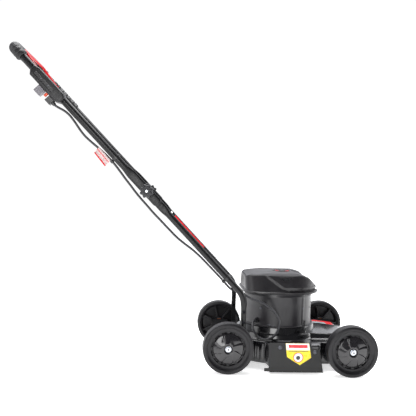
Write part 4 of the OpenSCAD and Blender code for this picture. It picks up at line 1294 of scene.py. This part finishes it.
tag_strip("tag_sheet", 0.0, 1.0, paper, 0.0, ["cable_tag"])
tag_strip("tag_edge", 0.84, 1.0, red_film, 0.0004)
tag_strip("tag_band", 0.30, 0.38, red_film, 0.0004)


# ---- Motor, inside the drum ----
# An induction motor: cast end bells with ball bearings, a stator of steel laminations, a turned rotor, a
# nylon fan, a foil capacitor and the switch. None of it shows, but each piece has its own finish.

cast_alloy = grained("cast_alloy", "#8F9094", "#A9AAAE", 0.45, 0.6, 0.8, 0.12, 20, Metallic=1.0)
lamination = grained("lamination_steel", "#6B665F", "#857F76", 0.4, 0.55, 0.5, 0.06, 12, Metallic=1.0)
turned_steel = grained("turned_steel", "#8C8C8F", "#A6A6A9", 0.22, 0.36, 0.6, 0.02, 10, Metallic=1.0)
spring_steel = grained("spring_steel", "#4F5054", "#6C6D70", 0.3, 0.5, 0.9, 0.06, 14, Metallic=1.0)
brass = grained("pin_brass", "#C9A24E", "#DDBB6A", 0.18, 0.3, 0.7, 0.01, 6, Metallic=1.0)
for material, nodes in (
    (cast_alloy, ["lower_bell", "upper_bell", "capacitor"]),
    (lamination, ["stator"]),
    (turned_steel, ["rotor", "bearings", "blade_boss"]),
    (black_abs, ["fan", "microswitch"]),
    (brass, ["inlet_pins"]),
):
    for node in nodes:
        for held in frame["nodes"][node].material_slots:
            held.material = material


# ---- Blade ----
# A flat bar of spring steel, ground at its edges, with its trailing corners turned up to lift the grass.
# One bolt with a thick washer clamps it under the boss on the motor's shaft.

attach(finish_surface(eased("blade", "ground_blade", 0.0006), spring_steel, ["blade"]),
        "blade_drive")
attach(finish_surface(eased("blade_bolt", "blade_clamp_bolt", 0.0006), zinc, ["blade_bolt"]),
        "blade_drive")


# ---- Studio ----
# A pale seamless floor, a big soft lamp overhead and a smaller one on each side, in an even white room.

floor_paint = grained("studio_floor", "#F6F6F6", "#FAFAFA", 0.8, 0.9, 8.0, 0.02, 400,
                      Emission_Color=(1, 1, 1, 1),
                      Emission_Strength=0.62)
floor_rings = [[Vector((r * math.cos(math.tau * k / 64), r * math.sin(math.tau * k / 64),
                        h)) for k in range(64)]
               for r, h in ((9.0, -0.002), (9.0, 0.0), (4.0, 0.0), (1.0, 0.0))]
studio_floor = skin("studio_floor", floor_rings)
studio_floor.data.materials.append(floor_paint)


def softbox(name, place, aim, width, height, power):
    """A rectangular lamp at a place, turned towards a point."""
    lamp = bpy.data.objects.new(name, bpy.data.lights.new(name, "AREA"))
    lamp.data.shape = "RECTANGLE"
    lamp.data.size, lamp.data.size_y = width, height
    lamp.data.energy = power
    lamp.location = place
    lamp.rotation_euler = (Vector(aim) - Vector(place)).to_track_quat("-Z", "Y").to_euler()
    bpy.context.scene.collection.objects.link(lamp)


middle = (-0.25, 0.0, 0.35)
softbox("lamp_over", (-0.3, 0.3, 2.6), middle, 2.4, 1.8, 95)
softbox("lamp_left", (-2.4, -0.5, 1.2), middle, 0.9, 1.8, 12)
softbox("lamp_right", (2.2, 0.3, 1.2), middle, 0.9, 1.8, 30)
softbox("lamp_key", (-0.85, -2.45, 0.78), middle, 0.9, 0.9, 17)
room = bpy.data.worlds.new("room")
bpy.context.scene.world = room
room.use_nodes = True
room.node_tree.nodes.clear()
towards = add(room, "ShaderNodeTexCoord")
split = add(room, "ShaderNodeSeparateXYZ", {0: towards.outputs["Generated"]})
backdrop = add(room, "ShaderNodeMapRange", {"Value": split.outputs["Y"], 1: -0.3, 2: 0.7, 3: 0.17, 4: 1.05})
seen = add(room, "ShaderNodeLightPath")
bright = add(room, "ShaderNodeBackground", {"Color": (1.0, 1.0, 1.0, 1.0), "Strength": 1.05})
dim = add(room, "ShaderNodeBackground", {"Color": (0.94, 0.95, 1.0, 1.0),
                                         "Strength": backdrop.outputs["Result"]})
mixed = add(room, "ShaderNodeMixShader", {0: seen.outputs["Is Camera Ray"], 1: dim.outputs[0],
                                          2: bright.outputs[0]})
add(room, "ShaderNodeOutputWorld", {"Surface": mixed.outputs[0]})
bpy.context.scene.view_settings.view_transform = "Standard"
